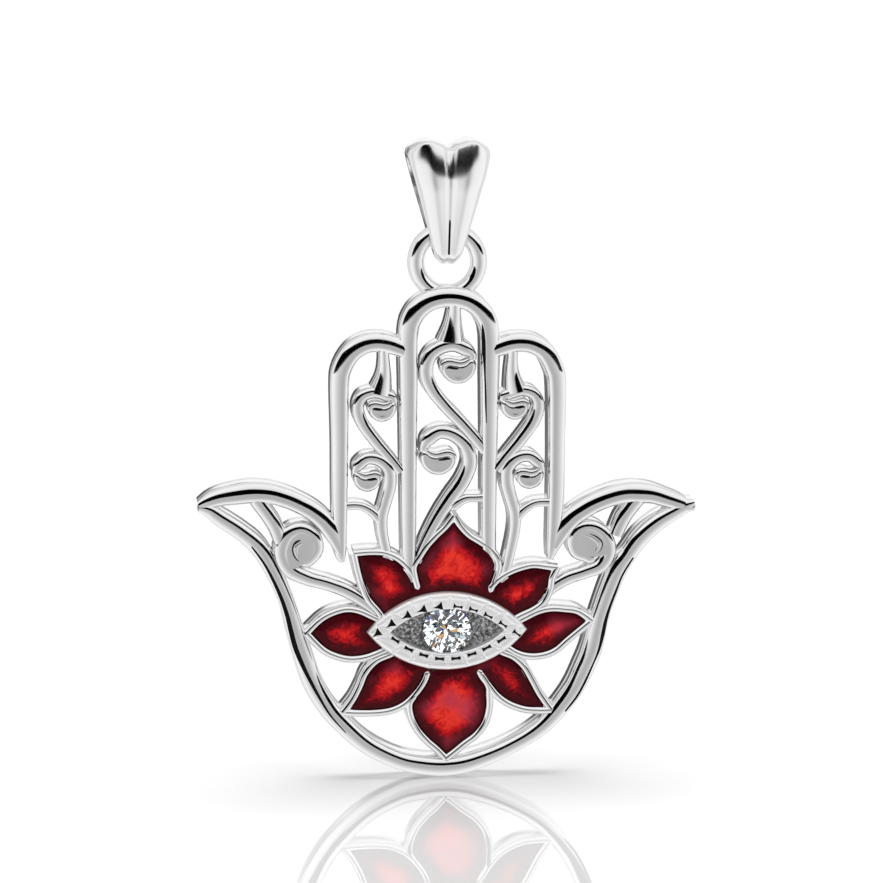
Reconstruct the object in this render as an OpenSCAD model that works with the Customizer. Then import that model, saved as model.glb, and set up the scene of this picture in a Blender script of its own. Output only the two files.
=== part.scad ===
// Hamsa pendant: an openwork hand cast in silver, with a flower of eight enamelled petals round
// an eye that holds a brilliant-cut stone, hung from a fluted bail by a ring soldered to its middle finger.
// Millimetres. X runs across the hand, -Y is its front, +Z is up, and the origin is the centre of the
// passage for the chain.

/* [Hand] */
// Width across the tips of both thumbs
hand_w = 28.3; // [25:0.1:32]
// Height from the middle finger's top to the rounded foot
hand_h = 28.2; // [25:0.1:32]
// Depth of the casting from front to back
hand_d = 2; // [1.6:0.05:2.6]
// Width of the widest bars
bar_w = 1.18; // [0.95:0.01:1.4]
// Height of the rounding on the front of a full-width bar
bar_dome = 0.42; // [0.2:0.01:0.6]

/* [Flower] */
// Width of the walls round the petals
wall_w = 0.5; // [0.38:0.01:0.6]
// Height of the rounding on a petal wall
wall_dome = 0.16; // [0.08:0.01:0.25]
// How far the enamel lies below the crest of its walls
enamel_drop = 0.14; // [0.06:0.01:0.3]
// Thickness of the enamel
enamel_t = 0.5; // [0.3:0.01:0.7]
// Gap round the enamel and the stone
fit_gap = 0.03; // [0.02:0.005:0.05]

/* [Eye] */
// Length of the eye from corner to corner
eye_w = 9.15; // [8.2:0.05:9.8]
// Height of the eye over both lids
eye_h = 4.5; // [4.1:0.05:4.9]
// Width of the smooth rim round the lids
eye_rim_w = 0.5; // [0.35:0.01:0.6]
// Width of the lip between the rim and the floor
eye_lip_w = 0.5; // [0.3:0.01:0.6]
// Length of the slots between the rim and the lip
slot_l = 0.46; // [0.3:0.01:0.55]
// Width of the slots
slot_w = 0.24; // [0.12:0.01:0.3]
// Height of the rim's crest over the bars
eye_rise = 0.3; // [0.2:0.01:0.5]
// Depth of the floor under the rim's crest
eye_pit = 0.7; // [0.5:0.01:0.9]

/* [Stone] */
// Diameter of the stone
stone_d = 2.75; // [2.4:0.05:2.9]
// Diameter of the light hole behind the stone
light_hole_d = 1.1; // [0.7:0.05:1.5]

/* [Ring] */
// Diameter of the ring's wire
ring_wire = 0.96; // [0.7:0.01:1.05]
// Inner diameter of the ring
ring_hole = 2.6; // [2.4:0.02:3.2]

/* [Bail] */
// Height of the bail
bail_h = 7.1; // [6.4:0.05:8]
// Width of the bail at its top
bail_w = 5.15; // [4:0.05:5.4]
// Width of the bail at its foot
bail_foot_w = 1.24; // [1:0.02:1.5]
// Inner diameter of the passage for the chain
chain_hole = 2.3; // [2:0.05:2.8]
// Thickness of the bail's two lobes at the top
bail_lobe_t = 1.1; // [0.8:0.01:1.3]
// Thickness of the leaves beside the ring
bail_leaf_t = 0.5; // [0.4:0.01:0.6]
// Thickness of the foot under the ring
bail_foot_t = 1.36; // [1:0.01:1.5]
// Running gap between the bail and the ring
link_gap = 0.06; // [0.04:0.005:0.12]

/* [Hidden] */

// Columns of the drawing's tables. X and Z are hundredths of the hand's width, counted from the middle
// of the hand and from the centre line of its foot, and W is a share of bar_w.
X = 0;
Z = 1;
W = 2;
drawn_w = 100;
drawn_h = 95;

// Levels from front to back
crest_y = -hand_d / 2;
back_y = hand_d / 2;
enamel_y = crest_y + enamel_drop;
floor_y = enamel_y + enamel_t;
lid_y = crest_y - eye_rise;
eye_floor_y = lid_y + eye_pit;

// Heights, from the chain's passage down
bail_top_z = chain_hole / 2 + bail_lobe_t;
bail_foot_z = bail_top_z - bail_h;
saddle_z = bail_foot_z + bail_foot_t;
ring_z = saddle_z + link_gap - ring_hole / 2;
solder_lip = 0.04;
hand_top_z = ring_z - ring_hole / 2 - solder_lip;
ring_r = (ring_hole + ring_wire) / 2;

// A cut or a bed reaches this far past the face that it meets
bite = 0.02;
overlap = 0.1;

// The U of the palm, from the left thumb's tip round the foot to the right thumb's tip
rim = [
    [-49.8, 53.7, 0.4], [-47.8, 53.1, 0.68], [-45.6, 51.5, 0.82], [-41.8, 48.9, 0.86], [-38.2, 45.7, 0.9],
    [-35.4, 41.1, 0.82], [-32.6, 34.7, 0.77], [-30.7, 28.1, 0.9], [-29.1, 22.9, 1], [-27.6, 18.3, 1],
    [-25.4, 14.1, 0.95], [-22.4, 10.2, 0.95], [-16.8, 5, 0.91], [-10.4, 1.6, 0.88], [-5, 0.3, 0.93],
    [0, 0, 0.95], [5.2, 0.9, 0.88], [12.8, 3.9, 0.77], [19.4, 8, 0.82], [24.8, 14.2, 0.91],
    [27.9, 20.1, 1], [29.4, 24.1, 1], [31, 30.9, 0.91], [34, 38.9, 0.95], [36.6, 42.9, 0.86],
    [39.2, 46.3, 0.9], [42.6, 49.2, 0.86], [46.6, 51.5, 0.73], [48.4, 52.4, 0.64], [49.8, 52.9, 0.4]
];

// The arched tops of the thumbs, from the tip to the finger that they run into
left_thumb = [
    [-49.8, 54.1, 0.4], [-48, 54.9, 0.68], [-45.6, 55.7, 0.86], [-42.4, 56.2, 1], [-39.2, 56.5, 1.05],
    [-35.9, 56.3, 1], [-33, 55.5, 0.98], [-30.2, 54.3, 0.95], [-27.4, 52.7, 0.95], [-25, 50.6, 0.95],
    [-22.9, 47.7, 0.9], [-21.4, 44.3, 0.6]
];
right_thumb = [
    [49.8, 52.1, 0.4], [48.2, 52.3, 0.64], [46.6, 53, 0.77], [44, 53.9, 0.86], [41.2, 54.8, 0.95],
    [38.4, 55.1, 1.04], [35.7, 55.1, 1], [33, 54.5, 0.98], [30.2, 53.5, 0.97], [27.7, 52.2, 0.96],
    [25.2, 50.4, 0.94], [22.9, 47.7, 0.88], [21.2, 44.5, 0.6]
];

// The arched bars of the fingers
middle_finger = [
    [-8, 38, 0.68], [-8, 50.3, 0.75], [-8, 64.3, 0.82], [-8, 78.3, 0.91], [-8, 87.3, 0.95],
    [-6.9, 91.4, 1], [-4, 94.1, 1], [0.1, 95, 1], [4.2, 94.1, 1], [7.1, 91.4, 1],
    [8.3, 87.3, 0.95], [8.3, 78.3, 0.91], [8.2, 64.3, 0.8], [8.1, 50.3, 0.75], [8.2, 40, 0.7]
];
left_finger = [
    [-21.3, 42.3, 0.25], [-21.8, 44.9, 0.64], [-21.8, 54.3, 0.77], [-21.7, 66.3, 0.82], [-21.7, 77.3, 0.91],
    [-21.2, 80.9, 0.94], [-19.4, 84, 0.95], [-17, 85.7, 0.96], [-14.4, 86.2, 0.96], [-11.8, 85.8, 0.94],
    [-8.8, 84.6, 0.82]
];
right_finger = [
    [20.5, 42.1, 0.25], [21.2, 45.3, 0.64], [21.7, 54.3, 0.8], [21.8, 66.3, 0.82], [21.8, 77.3, 0.91],
    [21.1, 80.7, 0.94], [19.4, 83.8, 0.95], [16.9, 85.4, 0.96], [14.4, 85.8, 0.96], [12, 85.5, 0.94],
    [9, 84.4, 0.82]
];

// The leaves that hang under the arches and stand on the scrolls
middle_leaf = [[1.2, 94, 0.6], [1.2, 91.9, 0.66], [1, 89.1, 0.9], [0.7, 86, 1.4]];
side_leaf = [[13, 85.5, 0.45], [12.8, 82, 0.55], [12.9, 79.2, 0.75], [13.6, 75.8, 1.2]];

// The scrolls inside the fingers: each runs up its stem, over its head and in to the middle.
// The outer fingers hold the same two scrolls, drawn on the right and mirrored on the left.
middle_upper_scroll = [
    [8, 63.5, 0.55], [5.4, 66.7, 0.6], [2.4, 70.1, 0.62], [-0.8, 73.5, 0.64], [-3.4, 76.9, 0.68],
    [-4.5, 80.1, 0.7], [-3.8, 83.1, 0.7], [-1.8, 84.9, 0.7], [1, 85.5, 0.7], [3.6, 84.5, 0.68],
    [4.6, 82.1, 0.68], [3.8, 79.5, 0.64], [1.8, 78.7, 0.56], [0.3, 80.1, 0.46], [0.9, 81.8, 0.36],
    [2.2, 81.8, 0.36]
];
middle_lower_scroll = [
    [-6.4, 42, 0.5], [-4.1, 47.1, 0.62], [-1.8, 51.3, 0.68], [0.6, 54.9, 0.72], [3, 58.3, 0.73],
    [4.3, 61.9, 0.73], [3.4, 65.3, 0.72], [1, 67.5, 0.7], [-1.8, 68.1, 0.7], [-4, 66.7, 0.7],
    [-4.7, 63.9, 0.68], [-4, 61.3, 0.64], [-2, 60.3, 0.58], [0, 61.1, 0.52], [0.3, 63.1, 0.44],
    [-1, 63.9, 0.36]
];
side_upper_scroll = [
    [9.6, 60.3, 0.5], [11.8, 63.1, 0.55], [14.8, 66.7, 0.6], [17.2, 70.1, 0.62], [18.1, 73.1, 0.6],
    [17.2, 75.4, 0.58], [14.8, 76.2, 0.56], [12.2, 75.5, 0.55], [11.2, 73.5, 0.52], [12.2, 71.5, 0.5],
    [14, 71.2, 0.44], [15, 72.5, 0.34], [14.1, 73.7, 0.26]
];
side_lower_scroll = [
    [11, 37.5, 0.5], [12.4, 43.5, 0.52], [13.3, 48, 0.56], [13.4, 51.4, 0.62], [12.6, 54.5, 0.64],
    [11.8, 57.7, 0.66], [12, 60.7, 0.64], [13.8, 62.6, 0.62], [16.2, 63, 0.6], [18, 61.7, 0.58],
    [18.2, 59.3, 0.55], [17, 57.5, 0.54], [15.2, 57.9, 0.46], [14.6, 59.5, 0.36], [15.8, 60.2, 0.28]
];

// The volutes in the thumbs: each runs from a petal to the palm's edge, round and in to the middle
left_volute = [
    [-13.6, 31, 0.4], [-17, 34.1, 0.64], [-20.4, 36.3, 0.68], [-24.4, 37.9, 0.68], [-28.4, 39.1, 0.73],
    [-32, 41.1, 0.82], [-33.4, 44.5, 0.86], [-32.2, 47.7, 0.86], [-29.6, 48.9, 0.82], [-27.2, 47.5, 0.77],
    [-26.6, 44.9, 0.77], [-28, 42.9, 0.68], [-29.6, 43.7, 0.55], [-29.4, 45.3, 0.36]
];
right_volute = [
    [18.2, 33.3, 0.36], [21.2, 36.3, 0.58], [24.2, 38.1, 0.66], [27.6, 39.2, 0.66], [30.8, 40.5, 0.73],
    [32.4, 43.1, 0.77], [31.8, 46.1, 0.77], [29.6, 48.1, 0.77], [27, 48.1, 0.77], [25.4, 46.1, 0.73],
    [25.8, 43.5, 0.68], [27.8, 42.5, 0.6], [29.4, 43.5, 0.5], [28.6, 45.1, 0.32]
];

// Short struts and twigs that tie the scrolls together
left_strut = [[-39.4, 56.7, 0.8], [-37.8, 54.3, 0.77], [-36.2, 52.1, 0.77], [-34.6, 49.5, 0.77], [-33.6, 46.5, 0.7]];
right_strut = [[39, 54.8, 0.8], [37, 52.4, 0.77], [35.2, 49.8, 0.77], [33.8, 46.6, 0.7]];
side_twig = [[21, 53.5, 0.42], [17.9, 53.5, 0.4], [15.6, 52.4, 0.44], [13.2, 50, 0.5]];
middle_twig = [[0.8, 53.1, 0.55], [3.2, 54.5, 0.45], [5.6, 54.7, 0.4], [8.2, 54.7, 0.5]];

// Centre lines of the petal walls. Each petal has two sides that run from the eye to its tip.
top_petal = [
    [[-6.2, 36.6], [-6.8, 38.9], [-7, 41.1], [-5.8, 43.1], [-4.4, 45.2], [-2.6, 47.2], [-0.6, 49.1], [1.1, 51.2]],
    [[8.3, 35.7], [9.4, 38.1], [10.1, 41.3], [8.6, 44.1], [6.2, 45.9], [4.2, 47.2], [2.4, 49.1], [1.1, 51.2]]
];
upper_left_petal = [
    [[-12, 28.8], [-14.2, 32.1], [-16.3, 34.7], [-17.5, 37.5], [-18.3, 40.3], [-19.1, 44]],
    [[-6.2, 36.9], [-7, 38.9], [-8.6, 41.3], [-10.6, 43], [-13, 44], [-15.8, 44.2], [-19.1, 44]]
];
upper_right_petal = [
    [[8.2, 36.1], [9.8, 37.9], [11.8, 39.3], [14.2, 40.3], [17, 40.9], [19.6, 40.6], [21.9, 40.3]],
    [[12.4, 29.4], [14.4, 30.6], [17.2, 31.9], [19.3, 33.5], [20.5, 35.9], [20.9, 38.3], [21.9, 40.3]]
];
left_petal = [
    [[-12.6, 29.8], [-15.2, 31], [-18, 32.3], [-20.6, 32.7], [-23.4, 32], [-25.9, 30.6], [-28.6, 28]],
    [[-10.6, 25.3], [-14.2, 23.7], [-17, 22.8], [-20, 22.6], [-22.8, 23.3], [-25.4, 24.7], [-28.6, 28]]
];
right_petal = [
    [[12.8, 28.9], [15.4, 30.2], [18.2, 31.5], [20.8, 32], [23.6, 31.8], [26.2, 31.3], [29, 29.4]],
    [[10, 25.7], [13.4, 23.3], [16.2, 22.4], [19.2, 22.5], [21.8, 23.5], [24.4, 25.7], [29, 29.4]]
];
lower_left_petal = [
    [[-9.6, 24.6], [-11.6, 23.4], [-14.6, 22.1], [-16.8, 19.7], [-18, 16.9], [-19.5, 14.1], [-21.4, 11.7]],
    [[-4.2, 19.6], [-4.9, 17.7], [-6.4, 15.5], [-8.6, 13.3], [-11.2, 12], [-14.2, 11.5], [-18.2, 11.5],
        [-21.4, 11.7]]
];
lower_right_petal = [
    [[8.4, 25], [10.6, 23.4], [13.2, 22.2], [15.4, 20.1], [17, 17.3], [18.5, 14.5], [20.8, 11.2]],
    [[6.1, 19.7], [6.8, 18.3], [7.8, 17], [9.8, 14.5], [12.2, 12.7], [15.4, 11.5], [18.6, 11.2], [20.8, 11.2]]
];
bottom_petal = [
    [[-6.8, 14.9], [-7.9, 13.1], [-7.6, 10.5], [-6.4, 7.9], [-4.4, 5.5], [-2.4, 3.7], [-0.6, 1.7]],
    [[7.1, 18.7], [8, 16.5], [8.2, 14.5], [8.2, 11.9], [7.4, 8.9], [5.6, 6.5], [3.2, 4.7], [1.2, 3.1], [-0.6, 1.7]]
];

// The pools of enamel: petals that share one are open to each other beside the eye
top_pool = [upper_left_petal, top_petal, upper_right_petal];
left_pool = [left_petal];
right_pool = [right_petal];
bottom_pool = [lower_left_petal, bottom_petal, lower_right_petal];
all_petals = concat(top_pool, left_pool, right_pool, bottom_pool);

// Middle of the eye in the drawing
eye_at = [-0.4, 28.1];

// Slots in the upper and the lower lid: place in the drawing, and TURN in degrees
TURN = 2;
slots = [
    [-14.2, 28.2, 30], [-11.4, 30, 29], [-8.2, 31.6, 24], [-5, 32.7, 15], [-1.7, 33.2, 5],
    [1.7, 33.1, -5], [4.8, 32.4, -14], [7.8, 31.1, -24], [10.8, 29.3, -31], [13.6, 27.4, -32],
    [-10.9, 26.6, -33], [-8.2, 24.7, -26], [-5.2, 23.4, -16], [-2, 22.6, -5],
    [1.3, 22.6, 5], [4.5, 23.4, 16], [7.5, 24.6, 26], [10.5, 26.2, 32]
];

function clamped(rows, i) = rows[max(0, min(len(rows) - 1, i))];

// How far the rows turn from before row i to after the next one
function heading(a, b) = atan2(b[Z] - a[Z], b[X] - a[X]);
function bend(rows, i) =
    let (
        a = clamped(rows, i - 1), b = rows[i], c = rows[i + 1], d = clamped(rows, i + 2),
        turn = heading(i > 0 ? a : b, i > 0 ? b : c) - heading(i < len(rows) - 2 ? c : b, i < len(rows) - 2 ? d : c)
    ) abs(turn) > 180 ? 360 - abs(turn) : abs(turn);

// A smooth curve through the rows, with a number of steps between two where they bend
straight = 26;
function curve(rows, steps) = concat(
    [for (i = [0:len(rows) - 2]) let (parts = bend(rows, i) > straight ? steps : 1) for (s = [0:parts - 1])
        let (a = clamped(rows, i - 1), b = rows[i], c = rows[i + 1], d = clamped(rows, i + 2), t = s / parts)
            0.5 * (2 * b + (c - a) * t + (2 * a - 5 * b + 4 * c - d) * t * t + (3 * b - a - 3 * c + d) * t * t * t)],
    [rows[len(rows) - 1]]
);

// A point of the drawing in millimetres
function placed(p) = [
    p[X] / drawn_w * hand_w,
    hand_top_z - bar_w / 2 - (drawn_h - p[Z]) / drawn_h * (hand_h - bar_w)
];
function placed_all(rows) = [for (p = rows) placed(p)];

// Unit vector across a path at point i
function across(path, i) =
    let (d = clamped(path, i + 1) - clamped(path, i - 1)) [-d[1], d[0]] / norm(d);

// Both edges of a path, as one outline
function ribbon(path, width) = concat(
    [for (i = [0:len(path) - 1]) path[i] + across(path, i) * width / 2],
    [for (i = [len(path) - 1:-1:0]) path[i] - across(path, i) * width / 2]
);

// A path carried on at both ends by a length
function longer(path, by) =
    let (n = len(path), head = path[0] - path[1], tail = path[n - 1] - path[n - 2])
        concat(
            [path[0] + head / norm(head) * by],
            [for (i = [1:n - 2]) path[i]],
            [path[n - 1] + tail / norm(tail) * by]
        );

// Section of a cast strip from its left foot over the rounded front to its right foot, as shares of
// half its width, with the depth of each point
strip_flat = 0.55;
function strip_section(dome, front, back) = [
    [-1, back], [-1, front + dome], [-strip_flat, front], [strip_flat, front], [1, front + dome], [1, back]
];

// Narrow bands of the casting lie a little deeper than wide ones, on the front and on the back
front_step = 0.25;
back_step = 0.06;
function band_section(share) =
    strip_section(bar_dome * share, crest_y + front_step * (1 - share), back_y - back_step * (1 - share));

function ring_points(path, i, half, section) = [
    for (q = section) [path[i][0] + across(path, i)[0] * q[0] * half, q[1], path[i][1] + across(path, i)[1] * q[0] * half]
];

// A solid between rings of as many points each, closed at both ends by the same fan of triangles
module skin(rings) {
    m = len(rings[0]);
    last = len(rings) - 1;
    sides = [for (i = [0:last - 1], j = [0:m - 1], k = [0, 1])
        let (a = i * m + j, b = i * m + (j + 1) % m) k == 0 ? [a, b, b + m] : [a, b + m, a + m]];
    near_end = [for (j = [1:m - 2]) [0, j + 1, j]];
    far_end = [for (j = [1:m - 2]) [last * m, last * m + j, last * m + j + 1]];
    polyhedron([for (r = rings) each r], concat(sides, near_end, far_end), convexity = 8);
}

// A band of the casting along a table. A band that curls over itself is built in stretches of few rings.
module band(rows, steps = 2, stretch = 0) {
    fine = curve(rows, steps);
    path = placed_all(fine);
    count = len(path) - 1;
    stride = stretch > 0 ? stretch : count;
    for (from = [0:stride:count - 1])
        skin([for (i = [from:min(from + stride, count)])
            ring_points(path, i, fine[i][W] * bar_w / 2, band_section(fine[i][W]))]);
}

module mirrored_band(rows, steps = 2, stretch = 0) {
    band(rows, steps, stretch);
    mirror([1, 0, 0]) band(rows, steps, stretch);
}

// An outline in the hand's plane, made solid between two levels
module slab(front, back) {
    translate([0, back, 0])
        rotate([90, 0, 0])
            linear_extrude(back - front)
                children();
}

// Petal walls
wall_steps = 2;
bed_inset = 0.1;

// Sides that end free beside the eye, so that their pool runs on between them and the lid
dividers = [
    upper_left_petal[1], top_petal[0], top_petal[1], upper_right_petal[0],
    lower_left_petal[1], bottom_petal[0], bottom_petal[1], lower_right_petal[1]
];
pool_pass = 0.26;
function lid_height(x) =
    let (r = lens_radius(eye_w / 2, eye_h / 2)) sqrt(max(0, r * r - x * x)) - r + eye_h / 2;
function clear_of_eye(p) =
    let (q = p - placed(eye_at), clear = lid_height(q[0]) + pool_pass)
        abs(q[0]) < eye_w / 2 && abs(q[1]) < clear ? placed(eye_at) + [q[0], sign(q[1]) * clear] : p;
function wall_path(side) =
    let (path = placed_all(curve(side, wall_steps)), free = len([for (d = dividers) if (d == side) d]) > 0)
        [for (p = path) free ? clear_of_eye(p) : p];

// The walls lie on slightly different levels and end one past the other at the tips, as cast walls do
wall_levels = 8;
wall_stride = 5;
wall_step = 0.008;
wall_thinning = 0.002;
tip_reach = 0.03;
function wall_level(k) = (k * wall_stride) % wall_levels;

module petal_wall(side, level) {
    path = longer(wall_path(side), tip_reach * (1 + level / wall_levels));
    step = bite + wall_step * level;
    section = strip_section(wall_dome, crest_y + step, back_y - step);
    skin([for (i = [0:len(path) - 1]) ring_points(path, i, wall_w / 2 - wall_thinning * level, section)]);
}

// The petal's outline along the middle of its walls, closed through the middle of the eye
module petal_outline(petal) {
    near = wall_path(petal[0]);
    far = wall_path(petal[1]);
    polygon(concat([placed(eye_at)], near, [for (i = [len(far) - 1:-1:0]) far[i]]));
}

// Where the enamel of some petals lies
module pool_outline(petals) {
    difference() {
        union() {
            for (petal = petals)
                petal_outline(petal);
        }
        for (petal = all_petals, side = petal)
            polygon(ribbon(longer(wall_path(side), overlap), wall_w + 2 * bite));
        polygon(lens_at(eye_w / 2 - bite, eye_h / 2 - bite));
    }
}

module pools(front, back) {
    slab(front, back) pool_outline(top_pool);
    slab(front, back) pool_outline(left_pool);
    slab(front, back) pool_outline(right_pool);
    slab(front, back) pool_outline(bottom_pool);
}

module enamel(petals) {
    color([0.6, 0.04, 0.06])
        slab(enamel_y, floor_y - fit_gap)
            offset(delta = -fit_gap)
                pool_outline(petals);
}

// Point of a lens-shaped outline: s runs from -1 to 1 between its corners, side is 1 above and -1 below
function lens_radius(half_w, half_h) = (half_w * half_w + half_h * half_h) / (2 * half_h);
function lens_point(half_w, half_h, s, side) =
    let (r = lens_radius(half_w, half_h), turn = asin(half_w / r) * s)
        [r * sin(turn), side * (r * cos(turn) - r + half_h)];
lens_steps = 14;
function lens(half_w, half_h) = concat(
    [for (i = [0:lens_steps - 1]) lens_point(half_w, half_h, 2 * i / lens_steps - 1, 1)],
    [for (i = [0:lens_steps - 1]) lens_point(half_w, half_h, 1 - 2 * i / lens_steps, -1)]
);
function lens_at(half_w, half_h) = [for (p = lens(half_w, half_h)) p + placed(eye_at)];
function lens_ring(inset, y) = [
    for (p = lens_at(eye_w / 2 - inset * lens_slant, eye_h / 2 - inset)) [p[0], y, p[1]]
];
// An inset of a lens moves its pointed corners further than its lids
lens_slant = 1.35;
eye_bevel = 0.18;
lip_drop = 0.08;
lip_inset = eye_rim_w + eye_lip_w;

// The eye's block, with its rim bevelled from the edge to the crest
module eye_block() {
    skin([
        lens_ring(0, back_y),
        lens_ring(0, crest_y),
        lens_ring(eye_bevel, lid_y),
        lens_ring(eye_rim_w, lid_y),
        lens_ring(lip_inset - bite, lid_y + lip_drop)
    ]);
}

// What is taken out of the block: the opening down to the floor, and the slots of the lids
module eye_hollow() {
    front = lid_y - overlap;
    skin([lens_ring(lip_inset, eye_floor_y), lens_ring(lip_inset, front)]);
    slab(front, eye_floor_y)
        for (slot = slots)
            translate(placed(slot))
                rotate(slot[TURN])
                    square([slot_l, slot_w], center = true);
}

// Stone: a round brilliant, table up along +Z and girdle at the height 0, before it is turned to the front
stone_r = stone_d / 2;
table_r = 0.55 * stone_r;
crown_h = 0.16 * stone_d;
girdle_t = 0.03 * stone_d;
pavilion_h = 0.42 * stone_d;
crown_mid_r = 0.79 * stone_r;
pavilion_mid_r = 0.24 * stone_r;
girdle_y = lid_y + 0.16 * stone_d;
half_facet = 22.5;

// Height of the plane of a main facet at a distance from the axis, taken halfway to the next facet
function crown_z(r) = girdle_t + crown_h * (stone_r - r * cos(half_facet)) / (stone_r - table_r);
function pavilion_z(r) = -pavilion_h * (1 - r * cos(half_facet) / stone_r);
function stone_ring(r, z, count, turn) = [
    for (k = [0:count - 1]) [r * cos(turn + 360 * k / count), r * sin(turn + 360 * k / count), z]
];

module brilliant() {
    hull()
        polyhedron(
            concat(
                stone_ring(table_r, girdle_t + crown_h, 8, 0),
                stone_ring(crown_mid_r, crown_z(crown_mid_r), 8, half_facet),
                stone_ring(stone_r, girdle_t, 16, 0),
                stone_ring(stone_r, 0, 16, 0),
                stone_ring(pavilion_mid_r, pavilion_z(pavilion_mid_r), 8, half_facet),
                [[0, 0, -pavilion_h]]
            ),
            [[for (i = [0:56]) i]]
        );
}

module at_stone() {
    translate([placed(eye_at)[0], girdle_y, placed(eye_at)[1]])
        rotate([90, 0, 0])
            children();
}

module stone_seat() {
    seat_r = stone_r + fit_gap;
    slope = pavilion_h / stone_r;
    sides = 32;
    far = hand_d + eye_rise;
    light_r = light_hole_d / 2;
    at_stone()
        rotate_extrude($fn = sides)
            polygon([
                [0, -far], [light_r, -far], [light_r, (light_r - seat_r) * slope], [seat_r, -fit_gap],
                [seat_r, girdle_t + fit_gap], [table_r, girdle_t + fit_gap + crown_h * (seat_r - table_r) / (stone_r - table_r)],
                [table_r, far], [0, far]
            ]);
}

// Ring soldered to the middle finger
ring_sides = 30;
wire_sides = 10;
module ring() {
    translate([0, 0, ring_z])
        rotate([90, 0, 0])
            rotate_extrude($fn = ring_sides)
                translate([ring_r, 0])
                    circle(d = ring_wire, $fn = wire_sides);
}

module bars() {
    band(rim, 2);
    band(left_thumb, 2);
    band(right_thumb, 2);
    band(middle_finger, 2);
    band(left_finger, 2);
    band(right_finger, 2);
    band(left_strut, 1);
    band(right_strut, 1);
    band(middle_leaf, 1);
    mirrored_band(side_leaf, 1);
}

// Flat middle of a scroll's head, behind the last rows of its table
head_rows = 7;
head_reach = 0.05;
head_drop = 0.22;
module head(rows) {
    slab(crest_y + head_drop, back_y - head_drop)
        offset(delta = head_reach) hull()
            polygon(placed_all([for (i = [len(rows) - head_rows:len(rows) - 1]) rows[i]]));
}

curl = 5;
module scrolls() {
    band(middle_upper_scroll, 2, curl);
    band(middle_lower_scroll, 2, curl);
    mirrored_band(side_upper_scroll, 2, curl);
    mirrored_band(side_lower_scroll, 2, curl);
    band(left_volute, 2, curl);
    band(right_volute, 2, curl);
    mirrored_band(side_twig, 1);
    band(middle_twig, 1);
    for (rows = [middle_upper_scroll, middle_lower_scroll, left_volute, right_volute])
        head(rows);
    for (rows = [side_upper_scroll, side_lower_scroll], turn = [0, 1])
        mirror([turn, 0, 0]) head(rows);
}

module flower() {
    for (k = [0:len(all_petals) - 1], side = [0, 1])
        petal_wall(all_petals[k][side], wall_level(2 * k + side));
    slab(floor_y, back_y)
        for (petal = all_petals)
            offset(delta = -bed_inset)
                petal_outline(petal);
}

module hand_frame() {
    color([0.78, 0.78, 0.8]) {
        difference() {
            union() {
                bars();
                scrolls();
                flower();
                ring();
            }
            pools(crest_y - overlap, floor_y - bite);
            skin([lens_ring(lip_inset, eye_floor_y), lens_ring(lip_inset, lid_y - overlap)]);
            stone_seat();
        }
        difference() {
            eye_block();
            eye_hollow();
            stone_seat();
        }
    }
}

module stone() {
    color([0.9, 0.95, 1]) at_stone() brilliant();
}

// Bail: a fluted leaf folded into a drop-shaped loop, from the side a large circle round the chain and
// a small one under the ring, joined by straight flanks
top_steps = 14;
foot_steps = 10;
leaf_room = 0.06;
leaf_taper = 0.75;
leaf_inner_r = ring_wire / 2 + link_gap + leaf_room;
foot_inner_z = saddle_z + leaf_inner_r;
foot_outer_r = leaf_inner_r + bail_leaf_t * leaf_taper;
foot_outer_z = bail_foot_z + foot_outer_r;
hole_r = ring_hole / 2;
saddle_share = 0.9;
saddle_half_w = min(bail_half_w(saddle_z), saddle_share * hole_r);
saddle_drop = hole_r - sqrt(hole_r * hole_r - saddle_half_w * saddle_half_w) + 2 * link_gap;

// Share of the bail's height at a level, from 0 at its foot to 1 at its top
function bail_share(z) = (z - bail_foot_z) / bail_h;
function bail_half_w(z) = (bail_foot_w + (bail_w - bail_foot_w) * bail_share(z)) / 2;

// Drop outline from two circles on the loop's axis, as [y, z] rings from the front flank over the top
function drop(top_r, foot_r, foot_z) =
    let (lean = asin((top_r - foot_r) / -foot_z))
        concat(
            [for (i = [0:top_steps]) let (a = -lean + (180 + 2 * lean) * i / top_steps) top_r * [cos(a), sin(a)]],
            [for (i = [0:foot_steps])
                let (a = 180 + lean + (180 - 2 * lean) * i / foot_steps) [0, foot_z] + foot_r * [cos(a), sin(a)]]
        );

// Section of the leaf across its width. U is a share of half the width and H of its thickness, and
// the flutes fade towards the foot.
U = 0;
H = 1;
bail_section = [
    [-1, 0], [-1, 0.28], [-0.87, 0.6], [-0.52, 1], [-0.22, 0.84], [0, 0.6],
    [0.22, 0.84], [0.52, 1], [0.87, 0.6], [1, 0.28], [1, 0], [0.5, 0], [0, 0], [-0.5, 0]
];
plain_section = [
    [-1, 0], [-1, 0.45], [-0.87, 0.78], [-0.52, 1], [-0.22, 1], [0, 0.97],
    [0.22, 1], [0.52, 1], [0.87, 0.78], [1, 0.45], [1, 0], [0.5, 0], [0, 0], [-0.5, 0]
];
flute_fade = 0.75;

module bail() {
    inner = drop(chain_hole / 2, leaf_inner_r, foot_inner_z);
    edge = drop(chain_hole / 2, leaf_inner_r, foot_inner_z - saddle_drop);
    outer = drop(chain_hole / 2 + bail_lobe_t, foot_outer_r, foot_outer_z);
    rings = [for (i = [0:len(inner) - 1])
        let (fluted = pow(max(0, bail_share(outer[i][1])), flute_fade))
            [for (j = [0:len(bail_section) - 1])
                let (
                    q = fluted * bail_section[j] + (1 - fluted) * plain_section[j],
                    from = inner[i] + (edge[i] - inner[i]) * q[U] * q[U],
                    p = from + (outer[i] - from) * q[H]
                ) [q[U] * bail_half_w(p[1]), p[0], p[1]]]
    ];
    color([0.78, 0.78, 0.8]) loop_skin(rings);
}

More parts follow.
